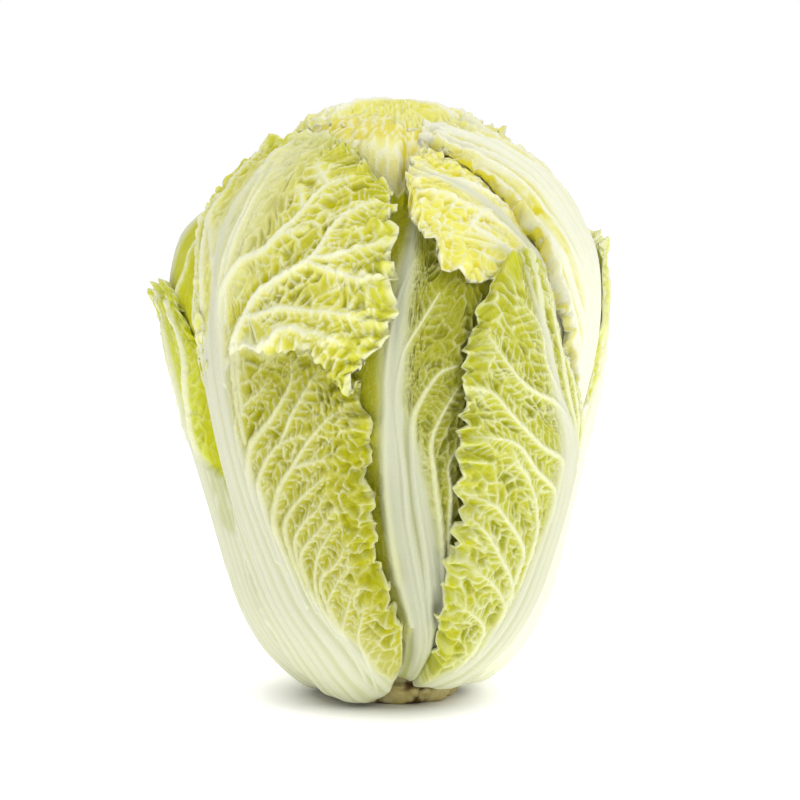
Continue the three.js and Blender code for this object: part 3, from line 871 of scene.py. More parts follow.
@dataclass
class Value:
    """A number socket whose arithmetic adds Math nodes."""

    bench: "Bench"
    socket: Any

    __add__ = arithmetic("ADD")
    __sub__ = arithmetic("SUBTRACT")
    __mul__ = arithmetic("MULTIPLY")
    __truediv__ = arithmetic("DIVIDE")
    __pow__ = arithmetic("POWER")
    __rsub__ = arithmetic("SUBTRACT", swap=True)

    def clamped(self) -> "Value":
        """The value held between 0 and 1."""
        return Value(self.bench, self.bench.node("ShaderNodeClamp", {}, {0: self}).outputs[0])

    def between(self, low: float, high: float) -> "Value":
        """Rises from 0 to 1 as the value goes from low to high."""
        return ((self - low) / (high - low)).clamped()


@dataclass
class Bench:
    """Builds the nodes of one material."""

    tree: Any

    def fill(self, made: Any, inputs: dict[Any, Any]) -> None:
        """Sets a node's inputs.

        Args:
            made: the node.
            inputs: a number, a colour, a value or a socket to link, for each input.
        """
        for key, value in inputs.items():
            source = value.socket if isinstance(value, Value) else value
            if hasattr(source, "links"):
                self.tree.links.new(source, made.inputs[key])
            else:
                made.inputs[key].default_value = source

    def node(self, kind: str, settings: dict[str, Any], inputs: dict[Any, Any]) -> Any:
        """Adds a node.

        Args:
            kind: its type.
            settings: its settings, which are set first.
            inputs: what its inputs are set to.

        Returns:
            The node.
        """
        made = self.tree.nodes.new(kind)
        for name, value in settings.items():
            setattr(made, name, value)
        self.fill(made, inputs)
        return made

    def attribute(self, name: str) -> Value:
        """A float attribute of the mesh."""
        return Value(self, self.node("ShaderNodeAttribute", {"attribute_name": name}, {}).outputs["Fac"])

    def mix(self, share: Any, start: Any, end: Any) -> Any:
        """The mix of two colours by a share."""
        return self.node("ShaderNodeMix", {"data_type": "RGBA"}, {0: share, 6: start, 7: end}).outputs[2]

    def noise(self, place: Any, scale: float, detail: float = 2.0, rough: float = 0.5) -> Value:
        """Noise over a place vector."""
        inputs = {"Vector": place, "Scale": scale, "Detail": detail, "Roughness": rough}
        return Value(self, self.node("ShaderNodeTexNoise", {}, inputs).outputs[0])

    def bump(self, height: Value, strength: float, distance: float) -> Any:
        """The normal of a surface with a fine relief, in metres."""
        inputs = {"Strength": strength, "Distance": distance, "Height": height}
        return self.node("ShaderNodeBump", {}, inputs).outputs[0]


def new_material(name: str) -> tuple[bpy.types.Material, Bench, Any]:
    """Starts a material.

    Args:
        name: its name.

    Returns:
        The material, its bench and its shader.
    """
    material = bpy.data.materials.new(name)
    material.use_nodes = True
    return material, Bench(material.node_tree), material.node_tree.nodes["Principled BSDF"]


def rgb(red: int, green: int, blue: int) -> tuple[float, float, float, float]:
    """A screen colour of 0 to 255 as linear light, by the sRGB curve, with full cover."""
    part = [c / 255 for c in (red, green, blue)]
    return (*(c / 12.92 if c <= 0.04045 else ((c + 0.055) / 1.055) ** 2.4 for c in part), 1.0)


@dataclass(frozen=True)
class LeafFinish:
    """A crisp leaf: pale ribs and veins, a yellow-green blade with deeper pits, a soft waxy sheen, painted
    shade in creases.
    """

    blade: tuple = rgb(218, 217, 50)
    # the pits' darker tone, and painted shade in and below a pleat's pocket
    deep_and_pleat_shade: tuple = rgb(180, 180, 0)
    # darker tone for the random tone and the speckle, and also painted shade below a pleat
    shade: tuple = rgb(202, 201, 0)
    vein: tuple = rgb(240, 241, 204)
    stalk: tuple = rgb(222, 223, 199)
    # darker colour of the stalk's flute grooves, and painted shade towards its base
    groove: tuple = rgb(202, 205, 156)
    # painted shade in creases, folds, crumpled valleys and crevices
    crease: tuple = rgb(206, 202, 0)
    rim: tuple = rgb(216, 221, 20)
    roughness: float = 0.36
    gloss: float = 0.06
    translucence: float = 0.3
    light_depth: float = 0.003  # metres that light goes in, times the share of each colour below
    light_shares: tuple = (1.0, 0.97, 0.45)

    def make(self, name: str) -> bpy.types.Material:
        """Builds the material.

        The blade's colour is mixed with one colour after another by the leaf's values: its slow tone, which
        also carries painted shade below a pleat and painted light above it, pits, painted shade in and below
        a pleat's pocket, rim, the cream beside the veins, a vein net of cells about 2 mm wide, painted shade
        in the creases, and veins; the painted shade of the pocket then comes once more. The stalk's colour
        then takes over where the leaf is white, darker in its grooves and with painted shade towards its
        base.

        Args:
            name: the material's name.

        Returns:
            The material.
        """
        material, bench, shader = new_material(name)
        corner = {0: bench.attribute("leaf_x"), 1: bench.attribute("leaf_y")}
        place = bench.node("ShaderNodeCombineXYZ", {}, corner).outputs[0]
        vein, fine, pit, stalk, crease, tone, rim, hollow, open_blade, cream = (
            bench.attribute(key)
            for key in ("vein", "fine", "pit", "stalk", "crease", "tone", "rim", "hollow", "open", "cream"))
        cells = {"Vector": place, "Scale": 0.55}
        finest = bench.node("ShaderNodeTexVoronoi", {"feature": "DISTANCE_TO_EDGE"}, cells)
        thread = 1 - Value(bench, finest.outputs[0]).between(0.0, 0.14)
        speckle = bench.noise(place, 1.3, 3.0, 0.6)
        broad = bench.noise(place, 0.04, 2.0)
        layers = (
            # tone carries the painted shade below a pleat and the painted light above it
            (tone * 0.6 + broad * 0.5 + open_blade * 0.35 - 0.3, self.shade),
            (pit * 1.1, self.deep_and_pleat_shade),
            # painted shade in and below a pleat's pocket
            (hollow * 0.75, self.deep_and_pleat_shade),
            (rim ** 2.0 * 0.45, self.rim),
            (cream * (0.62 - pit * 0.35) + (broad - 0.5) * cream, self.vein),
            (thread * (1 - pit) * 0.1, self.vein),
            (fine * 0.12, self.vein),
            # painted shade in the creases
            (crease * (1 - stalk) * 0.85, self.crease),
            (vein * 0.97, self.vein),
            # painted shade once more, over the veins in and below the pocket
            (hollow * 0.55, self.deep_and_pleat_shade),
        )
        blade = self.blade
        for share, colour in layers:
            blade = bench.mix(share.clamped(), blade, colour)
        # the stalk, darker in its flute grooves and with painted shade towards its base, plus speckle
        white = bench.mix((crease * 0.8 + (speckle - 0.5) * 0.3).clamped(), self.stalk, self.groove)
        colour = bench.mix(stalk, blade, white)
        bench.fill(shader, {
            "Base Color": bench.mix(((speckle - 0.52) * 0.5).clamped(), colour, self.shade),
            "Roughness": speckle * 0.2 + self.roughness + stalk * 0.05,
            "Normal": bench.bump(thread * 0.5 * (1 - stalk) + speckle * 0.3, 0.5, 0.0005),
            "Subsurface Weight": self.translucence,
            "Subsurface Radius": self.light_shares,
            "Subsurface Scale": self.light_depth,
            "Specular IOR Level": self.gloss,
        })
        return material


@dataclass(frozen=True)
class StemFinish:
    """A dry, rough cut: tan with brown edges and darker pores."""

    tan: tuple = rgb(196, 180, 112)
    brown: tuple = rgb(84, 60, 16)
    pale: tuple = rgb(224, 214, 160)
    roughness: float = 0.85

    def make(self, name: str) -> bpy.types.Material:
        """Builds the material: tan mottled with pale streaks, browner in the grooves and towards the cut.

        Args:
            name: the material's name.

        Returns:
            The material.
        """
        material, bench, shader = new_material(name)
        place = bench.node("ShaderNodeTexCoord", {}, {}).outputs["Object"]
        mottle = bench.noise(place, 160.0, 4.0, 0.6)
        grain = bench.noise(place, 900.0, 3.0, 0.6)
        colour = bench.mix(mottle.between(0.4, 0.7), self.tan, self.pale)
        brown = (bench.attribute("brown") + (mottle - 0.5) * 0.6).clamped()
        bench.fill(shader, {
            "Base Color": bench.mix(brown, colour, self.brown),
            "Normal": bench.bump(mottle + grain * 0.4, 0.6, 0.0008),
            "Roughness": self.roughness,
        })
        return material


LEFT_FRONT = LeafShape(
    name="left_front_leaf", node="leaf_left_front", slot=Slot.GREEN, seed=3, columns=(32, 168), rows=384,
    middle=((-20, 4.3, 1.2), (-29, 30, 1.5), (-41, 62, 2), (-48, 100, 2), (-52, 150, 2), (-54, 198, 2),
        (-57, 228, 2), (-45, 257, 4)),
    left=((-48, 4.3, 1), (-54, 28, 1.5), (-56, 56, 1.5), (-58, 90, 1.5), (-56.5, 130, 1.5),
        (-59, 165, 1.5), (-65, 200, 1.6), (-84, 226, 1.5), (-86, 250, 4.5)),
    right=((-5, 4.6, 7), (2, 24, 3), (-2, 52, 3), (-9, 90, 3), (-9.5, 132, 3.5), (-11, 154, 4),
        (-3, 178, 2.5), (-1, 215, 2.5), (-5, 241, 4.5), (-24, 251, 5.5)),
    ribs=(
        Rib(((0.04, 0.685), (-0.09, 0.747), (-0.41, 0.815), (-0.72, 0.865)), 1.7, 1.7),
        Rib(((0.08, 0.685), (0.14, 0.763), (0.15, 0.805), (0.07, 0.862), (-0.12, 0.911)), 1.7, 2.0),
        Rib(((0.17, 0.76), (0.18, 0.81), (0.15, 0.859), (-0.06, 0.938)), 1.6, 1.5),
        Rib(((0.11, 0.68), (0.27, 0.706), (0.41, 0.708), (0.52, 0.75), (0.58, 0.789), (0.65, 0.849),
            (0.76, 0.878)), 2.3, 2.5),
        Rib(((0.58, 0.789), (0.54, 0.818), (0.49, 0.839)), 0.9, 1.0, root=0),
        Rib(((0.65, 0.849), (0.59, 0.87), (0.47, 0.898)), 0.9, 1.0, root=0),
        Rib(((0.47, 0.732), (0.53, 0.74), (0.62, 0.753)), 0.9, 1.0, root=0),
        Rib(((0.25, 0.586), (0.32, 0.609), (0.4, 0.63), (0.55, 0.661), (0.69, 0.695), (0.74, 0.758),
            (0.82, 0.81), (0.92, 0.849)), 2.1, 2.9),
        Rib(((0.69, 0.693), (0.78, 0.703), (0.86, 0.742), (0.98, 0.789)), 1.2, 1.7, root=0),
        Rib(((0.67, 0.685), (0.77, 0.677), (0.86, 0.69), (0.94, 0.716)), 1.1, 1.4, root=0),
        Rib(((0.3, 0.615), (0.43, 0.609), (0.56, 0.617), (0.67, 0.617), (0.79, 0.622), (0.93, 0.654)), 1.6,
            2.0),
        Rib(((0.33, 0.578), (0.45, 0.578), (0.55, 0.586), (0.61, 0.596), (0.76, 0.594), (0.87, 0.604)), 1.9,
            1.9, root=0),
        Rib(((0.15, 0.424), (0.26, 0.453), (0.46, 0.471), (0.63, 0.51), (0.61, 0.542)), 2.3, 2.7),
        Rib(((0.23, 0.404), (0.33, 0.422), (0.51, 0.443), (0.69, 0.453)), 1.6, 1.9),
        Rib(((0.5, 0.443), (0.62, 0.477), (0.75, 0.51), (0.81, 0.539)), 1.2, 1.5, root=0),
        Rib(((0.28, 0.354), (0.39, 0.388), (0.55, 0.414), (0.69, 0.445), (0.79, 0.466), (0.95, 0.523)), 1.7,
            2.0),
        Rib(((0.55, 0.414), (0.67, 0.419), (0.81, 0.424)), 1.2, 1.3, root=0),
        Rib(((0.37, 0.344), (0.49, 0.367), (0.68, 0.391), (0.77, 0.404)), 1.5, 1.9),
        Rib(((0.41, 0.32), (0.54, 0.346), (0.67, 0.362), (0.76, 0.385)), 1.2, 1.7),
        Rib(((0.41, 0.299), (0.52, 0.32), (0.67, 0.339), (0.8, 0.362)), 1.2, 1.7),
        Rib(((0.44, 0.258), (0.56, 0.299), (0.7, 0.326), (0.8, 0.344)), 1.2, 1.7),
        Rib(((0.51, 0.268), (0.71, 0.292), (0.84, 0.32)), 1.2, 1.4),
        Rib(((0.46, 0.229), (0.61, 0.258), (0.82, 0.292)), 1.2, 1.4),
        Rib(((0.45, 0.182), (0.65, 0.227), (0.77, 0.258)), 1.2, 1.4),
        Rib(((0.58, 0.169), (0.71, 0.203), (0.81, 0.229)), 1.1, 1.2),
        Rib(((0.12, 0.482), (0.2, 0.503), (0.39, 0.503), (0.47, 0.516)), 1.2, 1.4),
    ),
    creased=(
        Rib(((0.19, 0.62), (0.3, 0.638), (0.45, 0.661), (0.58, 0.693), (0.69, 0.732)), 2.2, 2.4, 0.5),
        Rib(((0.65, 0.802), (0.75, 0.818), (0.88, 0.852)), 1.6, 1.6, 0.5),
    ),
    laterals=(
        Laterals(Side.LEFT, 0.4, 0.85, 4, reach=0.4, bend=1.2, bundle=0.5, strands=4, width=1.5, rise=1.4,
            forks=0),
    ),
    white_left=((0, 1.3), (0.5, 1.2), (0.57, 0.6), (0.64, 0.15), (0.72, 0.02), (1, -0.05)),
    white_right=((0, 1.3), (0.04, 1.0), (0.1, 0.64), (0.2, 0.42), (0.3, 0.28), (0.4, 0.19), (0.5, 0.1),
        (0.6, 0.12), (0.7, 0.04), (0.8, 0), (1, -0.05)),
    net=Net(calm=0.45, pale=0.9, width=0.62, rise=0.8, pit=1.7),
    flutes=0.45,
    margin=Margin(left=0.3, right=2.4, tip=1.5, wave=12, tooth=2.4, crumple=1.1, inset=0.74,
        press_right=3.5),
    pleat=Pleat(at=0.575, rise=0.06, depth=9, length=30, overhang=0.024),
)

RIGHT_FRONT = LeafShape(
    name="right_front_leaf", node="leaf_right_front", slot=Slot.GREEN, seed=5, columns=(120, 48), rows=320,
    middle=((24, 4.6, 7), (36, 20, 1.8), (54, 57, 2), (60, 92, 2), (58, 120, 2), (48, 147, 2),
        (40, 180, 2), (35, 209, 3)),
    left=((10, 4.6, 7.5), (17, 22, 3.4), (17, 50, 3), (21, 88, 3), (20, 120, 3), (18, 151, 3),
        (22, 186, 2.5), (30, 206, 2.5)),
    right=((45, 4.5, 4), (56, 22, 3), (67, 45, 3.8), (75, 78, 4), (77, 115, 4.3), (65, 141, 4.8),
        (49, 170, 3.6), (40, 210, 3.2)),
    ribs=(
        Rib(((0.08, 0.641), (0, 0.713), (-0.12, 0.778), (-0.11, 0.853), (-0.38, 0.9)), 1.4, 1.7),
        Rib(((0.06, 0.625), (-0.08, 0.691), (-0.44, 0.731), (-0.65, 0.778), (-0.88, 0.841)), 1.6, 1.9),
        Rib(((-0.14, 0.566), (-0.4, 0.603), (-0.61, 0.663), (-0.78, 0.719), (-1, 0.738)), 1.6, 1.9),
        Rib(((-0.18, 0.506), (-0.47, 0.559), (-0.64, 0.613), (-0.79, 0.631), (-0.94, 0.634)), 1.4, 1.7),
        Rib(((-0.33, 0.444), (-0.48, 0.519), (-0.64, 0.578), (-0.69, 0.613)), 1.2, 1.4),
        Rib(((-0.43, 0.4), (-0.67, 0.463), (-0.81, 0.497), (-0.98, 0.509)), 1.4, 1.7),
        Rib(((-0.38, 0.322), (-0.69, 0.4), (-0.86, 0.447), (-1, 0.459)), 1.2, 1.5),
        Rib(((-0.36, 0.281), (-0.67, 0.341), (-0.93, 0.375)), 1.2, 1.4),
        Rib(((-0.5, 0.238), (-0.72, 0.272), (-0.92, 0.288)), 1.1, 1.2),
    ),
    laterals=(
        Laterals(Side.RIGHT, 0.3, 0.85, 5, reach=0.3, bend=1.3, bundle=0.5, width=1.4, rise=1.2),
    ),
    white_left=((0, 1.1), (0.06, 0.7), (0.12, 0.44), (0.3, 0.26), (0.5, 0.14), (0.75, 0.07), (1, 0.02)),
    white_right=((0, 1.3), (0.42, 1.2), (0.54, 0.4), (0.66, 0.1), (1, -0.05)),
    net=Net(cell=5.6, rise=0.8, pit=1.5, width=0.6, pale=0.75),
    flutes=0.45,
    margin=Margin(left=2.4, right=0.3, wave=14, tooth=2.4, press_right=1.0, press_left=7.0),
)

RIGHT_UPPER = LeafShape(
    name="right_upper_leaf", node="leaf_right_upper", slot=Slot.PALE, seed=7, columns=(100, 80), rows=200,
    focus=0.4,
    middle=((62, 4.6, 11.5), (67, 28, 11.5), (78, 70, 11.5), (82, 112, 10.6), (75, 156, 6.8),
        (66, 202, 2.2), (60, 240, 1.6), (24, 264, 7)),
    left=((36, 4.6, 11.5), (42, 25, 11.5), (52, 65, 11.8), (58, 115, 10.6), (63, 148, 8.2),
        (55, 173, 6.8), (49, 208, 7.8), (46, 232, 8.2), (36, 250, 8.4), (13, 259, 8.4)),
    right=((90, 4.6, 11.5), (96, 28, 11.5), (106, 70, 11.5), (113, 112, 10.6), (116, 160, 9),
        (117, 205, 8), (112, 232, 3), (88, 251, 3.6), (70, 262, 7.6)),
    laterals=(
        Laterals(Side.LEFT, 0.3, 0.9, 6, reach=0.5, bend=1.3, bundle=0.5, width=1.8, rise=1.1, forks=2),
        Laterals(Side.RIGHT, 0.3, 0.9, 6, reach=0.45, bend=1.3, bundle=0.5, width=1.8, rise=1.0),
    ),
    white_left=((0, 1.3), (0.3, 1.3), (0.45, 0.6), (0.66, 0.3), (0.85, 0.15), (1, 0.05)),
    white_right=((0, 1.3), (0.55, 1.3), (0.7, 0.6), (1, 0.1)),
    net=Net(cell=8, rise=0.35, width=0.8, pit=0.7),
    margin=Margin(left=0.8, right=1.0, tip=2.2, crumple=1.8, press_left=3.0, tooth=2.6),
    creased=(
        Rib(((-0.65, 0.974), (-0.6, 0.942), (-0.17, 0.898)), 1.4, 1.8, 0.5),
        Rib(((-0.9, 0.873), (-0.86, 0.842), (-0.73, 0.812), (-0.42, 0.788)), 1.8, 2.0, 0.5),
        # a line of painted shade along the left margin, with a shallow dip
        Rib(((-0.98, 0.7), (-0.98, 0.78), (-0.98, 0.86), (-0.98, 0.94)), 2.0, 0.4, 0.9),
    ),
    creases=1.4, flutes=0.3,
)

TOP_FRONT = LeafShape(
    name="top_front_leaf", node="leaf_top_front", slot=Slot.PALE, seed=9, columns=(120, 80), rows=240,
    focus=0.6,
    middle=((56, 6, 18.6), (60, 45, 18.6), (62, 90, 18), (62, 130, 15.8), (58, 165, 13), (50, 205, 11.4),
        (33, 238, 12.2), (2, 248, 9)),
    left=((47, 6, 18.6), (48, 45, 18.6), (48, 90, 18), (46, 130, 16), (40, 168, 13.5), (37, 200, 9.6),
        (22, 202, 8.6), (9, 213, 8.2), (2, 242, 8.2)),
    right=((70, 6, 19), (80, 45, 19), (86, 90, 18.8), (88, 130, 17), (86, 170, 14.5), (78, 222, 12),
        (50, 250, 11.5), (6, 254, 9.6)),
    laterals=(
        Laterals(Side.LEFT, 0.45, 0.92, 5, reach=0.26, bend=1.3, bundle=0.12, strands=2, width=1.0,
            rise=0.6),
        Laterals(Side.RIGHT, 0.45, 0.92, 3, reach=0.26, bend=1.3, bundle=0.12, strands=2, width=1.0,
            rise=0.6),
    ),
    ribs=(
        Rib(((0.03, 0.932), (0.16, 0.89), (0.25, 0.843), (0.33, 0.786)), 2.0, 1.5, root=0),
        Rib(((-0.42, 0.855), (0.01, 0.843), (0.21, 0.82)), 1.7, 1.4),
    ),
    creased=(
        Rib(((-0.53, 0.878), (-0.31, 0.855), (-0.12, 0.826)), 1.2, 1.6, 0.5),
        # a line of painted shade where the upper right leaf's margin lies over this one, with a shallow dip
        Rib(((0.0, 0.74), (0.3, 0.84), (0.6, 0.875), (0.85, 0.9)), 3.4, 0.6, 0.9),
    ),
    white_left=((0, 0.5), (0.5, 0.15), (0.8, 0.08), (1, 0.02)),
    white_right=((0, 0.5), (0.5, 0.2), (0.8, 0.1), (1, 0.02)),
    net=Net(cell=4.6, rise=0.8, pit=1.7, width=0.8, pale=1.0),
    margin=Margin(left=2.0, right=0.8, tip=1.6, crumple=1.3, wave=11, tooth=2.4),
)

CENTRE = LeafShape(
    name="centre_leaf", node="leaf_centre", slot=Slot.GREEN, seed=11, columns=(64, 124), rows=320,
    middle=((9, 4.7, 11), (12, 26, 14), (6, 60, 16), (0, 102, 16.5), (-2, 150, 16.5), (0, 190, 16),
        (5, 225, 15.5), (8, 243, 15.5)),
    left=((-4, 4.7, 13), (-16, 30, 17), (-25, 62, 18.5), (-30, 102, 19), (-31, 150, 19), (-30, 195, 18.5),
        (-20, 228, 17.5), (-6, 244, 17)),
    right=((20, 4.7, 14), (36, 30, 19.5), (40, 62, 20.5), (40, 102, 20.5), (39, 150, 19.5), (37, 190, 17),
        (32, 222, 16.2), (22, 242, 16)),
    ribs=(
        Rib(((-0.23, 0.278), (-0.06, 0.562), (-0.05, 0.659), (-0.02, 0.781), (0.09, 0.853)), 2.7, 2.2),
        Rib(((0.07, 0.1), (0.03, 0.312), (0.07, 0.456), (0.04, 0.597), (0.07, 0.672), (0.12, 0.709),
            (0.36, 0.794)), 2.7, 2.5),
        Rib(((0.14, 0.138), (0.19, 0.312), (0.18, 0.456), (0.19, 0.562), (0.27, 0.609), (0.4, 0.653),
            (0.54, 0.666)), 2.7, 2.7),
        Rib(((0.39, 0.206), (0.4, 0.347), (0.37, 0.456), (0.35, 0.522), (0.44, 0.575), (0.56, 0.625)), 2.3,
            2.4),
        Rib(((0.47, 0.306), (0.53, 0.416), (0.51, 0.475), (0.66, 0.531)), 1.9, 1.7),
    ),
    laterals=(),
    white_left=((0, 1.2), (0.06, 0.4), (0.15, 0.2), (0.6, 0.06), (0.85, 0.04), (1, 0.02)),
    white_right=((0, 0.5), (0.1, 0.42), (0.25, 0.4), (0.45, 0.26), (0.6, 0.1), (1, 0.02)),
    net=Net(cell=5.4, rise=0.8, pit=1.4, left=0.15, pale=0.45),
    margin=Margin(left=0.8, right=1.2),
    lumps=0.8, flutes=0.6, flute_width=11.0,
)

FAR_LEFT = LeafShape(
    name="far_left_leaf", node="leaf_far_left", slot=Slot.GREEN, seed=13, columns=(72, 84), rows=240,
    middle=((-84, 4.3, 1.5), (-86, 28, 2), (-87, 62, 2.2), (-86, 98, 1.4), (-83, 134, -0.8),
        (-82, 160, -3.8), (-88, 184, -7.2)),
    left=((-124, 4.3, 0.8), (-126, 28, 1), (-127, 62, 1), (-122, 96, 0.4), (-113, 130, -2),
        (-104, 152, -6.5), (-98, 168, -10.5)),
    right=((-50, 4.3, 5.6), (-54, 28, 5.2), (-56, 62, 5.2), (-56, 95, 6), (-56, 125, 7), (-60, 152, 6.2),
        (-74, 180, -1.6)),
    ribs=(
        Rib(((0.22, 0.4), (0.24, 0.55), (0.28, 0.71), (0.46, 0.82), (0.52, 0.89), (0.34, 0.97)), 3.2, 2.4,
            0.5),
    ),
    creased=(
        # a wide band of painted shade near the right margin, with a shallow dip
        Rib(((0.6, 0.42), (0.62, 0.55), (0.66, 0.7), (0.88, 0.82), (0.95, 0.9)), 8.0, 0.6, 0.8),
    ),
    laterals=(
        Laterals(Side.LEFT, 0.3, 0.9, 9, reach=0.22, bend=1.4, bundle=0.4, width=1.5, rise=1.5, forks=2),
    ),
    white_left=((0, 1.3), (0.45, 1.3), (0.56, 0.3), (0.66, 0.04), (1, -0.1)),
    white_right=((0, 1.3), (0.5, 1.3), (0.6, 0.4), (0.68, 0.04), (0.85, 0), (1, -0.1)),
    net=Net(right=0.6),
    margin=Margin(left=3.0, right=0.5, tip=2.0, wave=11, tooth=1.6, inset=0.55, crumple=1.2),
)

LEFT_SIDE = LeafShape(
    name="left_side_leaf", node="leaf_left_side", slot=Slot.GREEN, seed=17, columns=(48, 64), rows=160,
    middle=((-88, 4.3, 10.5), (-94, 30, 10.5), (-98, 70, 9.6), (-98, 120, 8.2), (-98, 160, 4.4),
        (-100, 184, -3), (-100, 203, -1.8), (-96, 226, 5), (-75, 250, 10.5)),
    left=((-132, 4.3, 11), (-136, 35, 11.5), (-142, 75, 11.7), (-145, 120, 11.9), (-146, 165, 11.8),
        (-147, 205, 9.5), (-143, 240, 9.5), (-110, 257, 11)),
    right=((-45, 4.4, 10.4), (-47, 30, 10.2), (-49, 65, 10), (-53, 115, 9), (-57, 165, 5.8),
        (-58, 205, 7.4), (-60, 232, 9.2), (-60, 246, 10.5)),
    laterals=(
        Laterals(Side.RIGHT, 0.3, 0.7, 3, reach=0.8, bend=1.1, bundle=0.7, strands=3, width=1.8, rise=1.4,
            forks=0),
        Laterals(Side.LEFT, 0.3, 0.9, 7, reach=0.25, bend=1.4, bundle=0.3, width=1.5, rise=1.4),
    ),
    white_left=((0, 1.2), (0.2, 0.5), (0.5, 0.2), (1, 0.05)),
    white_right=((0, 1.3), (0.4, 1.0), (0.5, 0.3), (1, 0.08)),
    net=Net(cell=8, rise=0.3, pit=0.5, right=0.3),
    margin=Margin(right=0.4),
)

FAR_RIGHT = LeafShape(
    name="far_right_leaf", node="leaf_far_right", slot=Slot.PALE, seed=19, columns=(64, 48), rows=200,
    middle=((86, 4.3, 1.8), (90, 28, 2.2), (96, 62, 1.8), (99, 100, 1), (100, 140, -0.2),
        (100, 175, -0.6), (100, 207, -2)),
    left=((54, 4.3, 6.6), (62, 26, 6.6), (70, 62, 7.2), (75, 100, 8.2), (79, 140, 5), (82, 172, 2.8),
        (89, 208, 0.2)),
    right=((124, 4.3, 1), (127, 28, 1), (131, 62, 1.4), (134, 100, 1.4), (135, 140, 1.2), (132, 178, 0.6),
        (117, 205, -2)),
    laterals=(
        Laterals(Side.RIGHT, 0.3, 0.9, 8, reach=0.24, bend=1.4, bundle=0.4, width=1.5, rise=1.4),
        Laterals(Side.LEFT, 0.3, 0.85, 4, reach=0.5, bend=1.2, bundle=0.7, width=1.6, rise=1.2, forks=0),
    ),
    white_left=((0, 1.3), (0.6, 1.3), (0.75, 0.7), (1, 0.2)),
    white_right=((0, 1.3), (0.2, 0.8), (0.5, 0.4), (1, 0.1)),
    net=Net(cell=7, rise=0.5, pit=0.9),
    margin=Margin(left=0.4, right=1.6, tip=2.2, press_left=1.2),
)

BACK_WHITE = ((0, 1.2), (0.05, 0.5), (0.15, 0.28), (0.5, 0.14), (0.8, 0.04), (0.9, -0.1), (1, -0.1))
BACK = LeafShape(
    name="back_leaf", node="leaf_back", slot=Slot.GREEN, seed=23, columns=(72, 72), rows=320,
    middle=((178, 4.3, 2), (180, 28, 2), (180, 65, 2.5), (180, 110, 3), (180, 155, 2.5), (180, 200, 2.2),
        (180, 235, 2.5), (180, 262, 2.5), (0, 268.6, 2), (0, 262.5, 3.2)),
    left=((132, 4.3, 5), (134, 28, 5.5), (130, 65, 6), (127, 110, 6), (126, 155, 6), (126, 200, 4.5),
        (124, 232, 3.5), (104, 254, 1.6), (62, 261, 2.8)),
    right=((226, 4.3, 5), (223, 28, 5.5), (227, 65, 6.6), (230, 110, 6.6), (230, 155, 4), (230, 200, 0.4),
        (240, 235, 1.8), (268, 257, 0.8), (302, 260.5, -0.4)),
    laterals=tuple(
        Laterals(side, 0.08, 0.86, 16, reach=0.15, bundle=0.25, width=2.0, rise=1.8, forks=2)
        for side in (Side.RIGHT, Side.LEFT)),
    white_left=BACK_WHITE,
    white_right=BACK_WHITE,
    margin=Margin(left=2.6, right=1.6, tip=1.2, wave=12, tooth=2.0, crumple=1.2, press_right=3.6,
        press_left=2.4, press_tip=4.8),
)

LEAVES = (
    (LEFT_FRONT, LeafFinish(blade=rgb(238, 234, 56), deep_and_pleat_shade=rgb(172, 170, 0), shade=rgb(196, 193, 0),
                            vein=rgb(244, 245, 212))),
    (RIGHT_FRONT, LeafFinish(blade=rgb(200, 202, 14), deep_and_pleat_shade=rgb(166, 168, 0), shade=rgb(190, 191, 0),
                             vein=rgb(236, 238, 198))),
    (RIGHT_UPPER, LeafFinish(
        blade=rgb(243, 241, 170), deep_and_pleat_shade=rgb(232, 224, 40), shade=rgb(238, 234, 110), rim=rgb(238, 232, 70),
        vein=rgb(248, 248, 226), stalk=rgb(244, 245, 222), groove=rgb(230, 232, 176),
        crease=rgb(230, 218, 4))),
    (TOP_FRONT, LeafFinish(
        blade=rgb(254, 250, 130), deep_and_pleat_shade=rgb(244, 232, 0), shade=rgb(251, 245, 80), rim=rgb(250, 246, 130),
        vein=rgb(254, 253, 224), crease=rgb(240, 226, 0))),
    # A darker olive copy of the leaf finish, stalk and grooves too: painted shade of the recess it sits in
    # between the front leaves.
    (CENTRE, LeafFinish(blade=rgb(176, 176, 0), deep_and_pleat_shade=rgb(146, 148, 0), shade=rgb(162, 162, 0),
                        vein=rgb(224, 226, 176), stalk=rgb(208, 211, 184), groove=rgb(168, 171, 86))),
    (FAR_LEFT, LeafFinish(blade=rgb(216, 220, 60), deep_and_pleat_shade=rgb(186, 191, 0), shade=rgb(204, 209, 20),
                          crease=rgb(190, 192, 0))),
    # A darker, more saturated copy of the leaf finish: painted shade of the crevice it shows in, between the
    # far left and left front leaves.
    (LEFT_SIDE, LeafFinish(blade=rgb(208, 209, 0), deep_and_pleat_shade=rgb(190, 191, 0), shade=rgb(198, 199, 0),
                           vein=rgb(238, 239, 190))),
    (FAR_RIGHT, LeafFinish(blade=rgb(238, 240, 150), deep_and_pleat_shade=rgb(214, 219, 50), shade=rgb(228, 231, 100),
                           stalk=rgb(244, 245, 224), groove=rgb(230, 233, 186))),
    (BACK, LeafFinish(blade=rgb(250, 247, 160), deep_and_pleat_shade=rgb(234, 227, 40), shade=rgb(245, 241, 110),
                      rim=rgb(250, 247, 170), vein=rgb(252, 251, 226), crease=rgb(236, 226, 10))),
)


def dress(piece: bpy.types.Object, node: str, material: bpy.types.Material) -> None:
    """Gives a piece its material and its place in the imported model.

    Args:
        piece: the object.
        node: the solid that it stands for.
        material: the material.
    """
    piece.data.materials.append(material)
    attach(piece, "root")
    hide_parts(node)
    log.info("%s: %d faces", piece.name, len(piece.data.polygons))


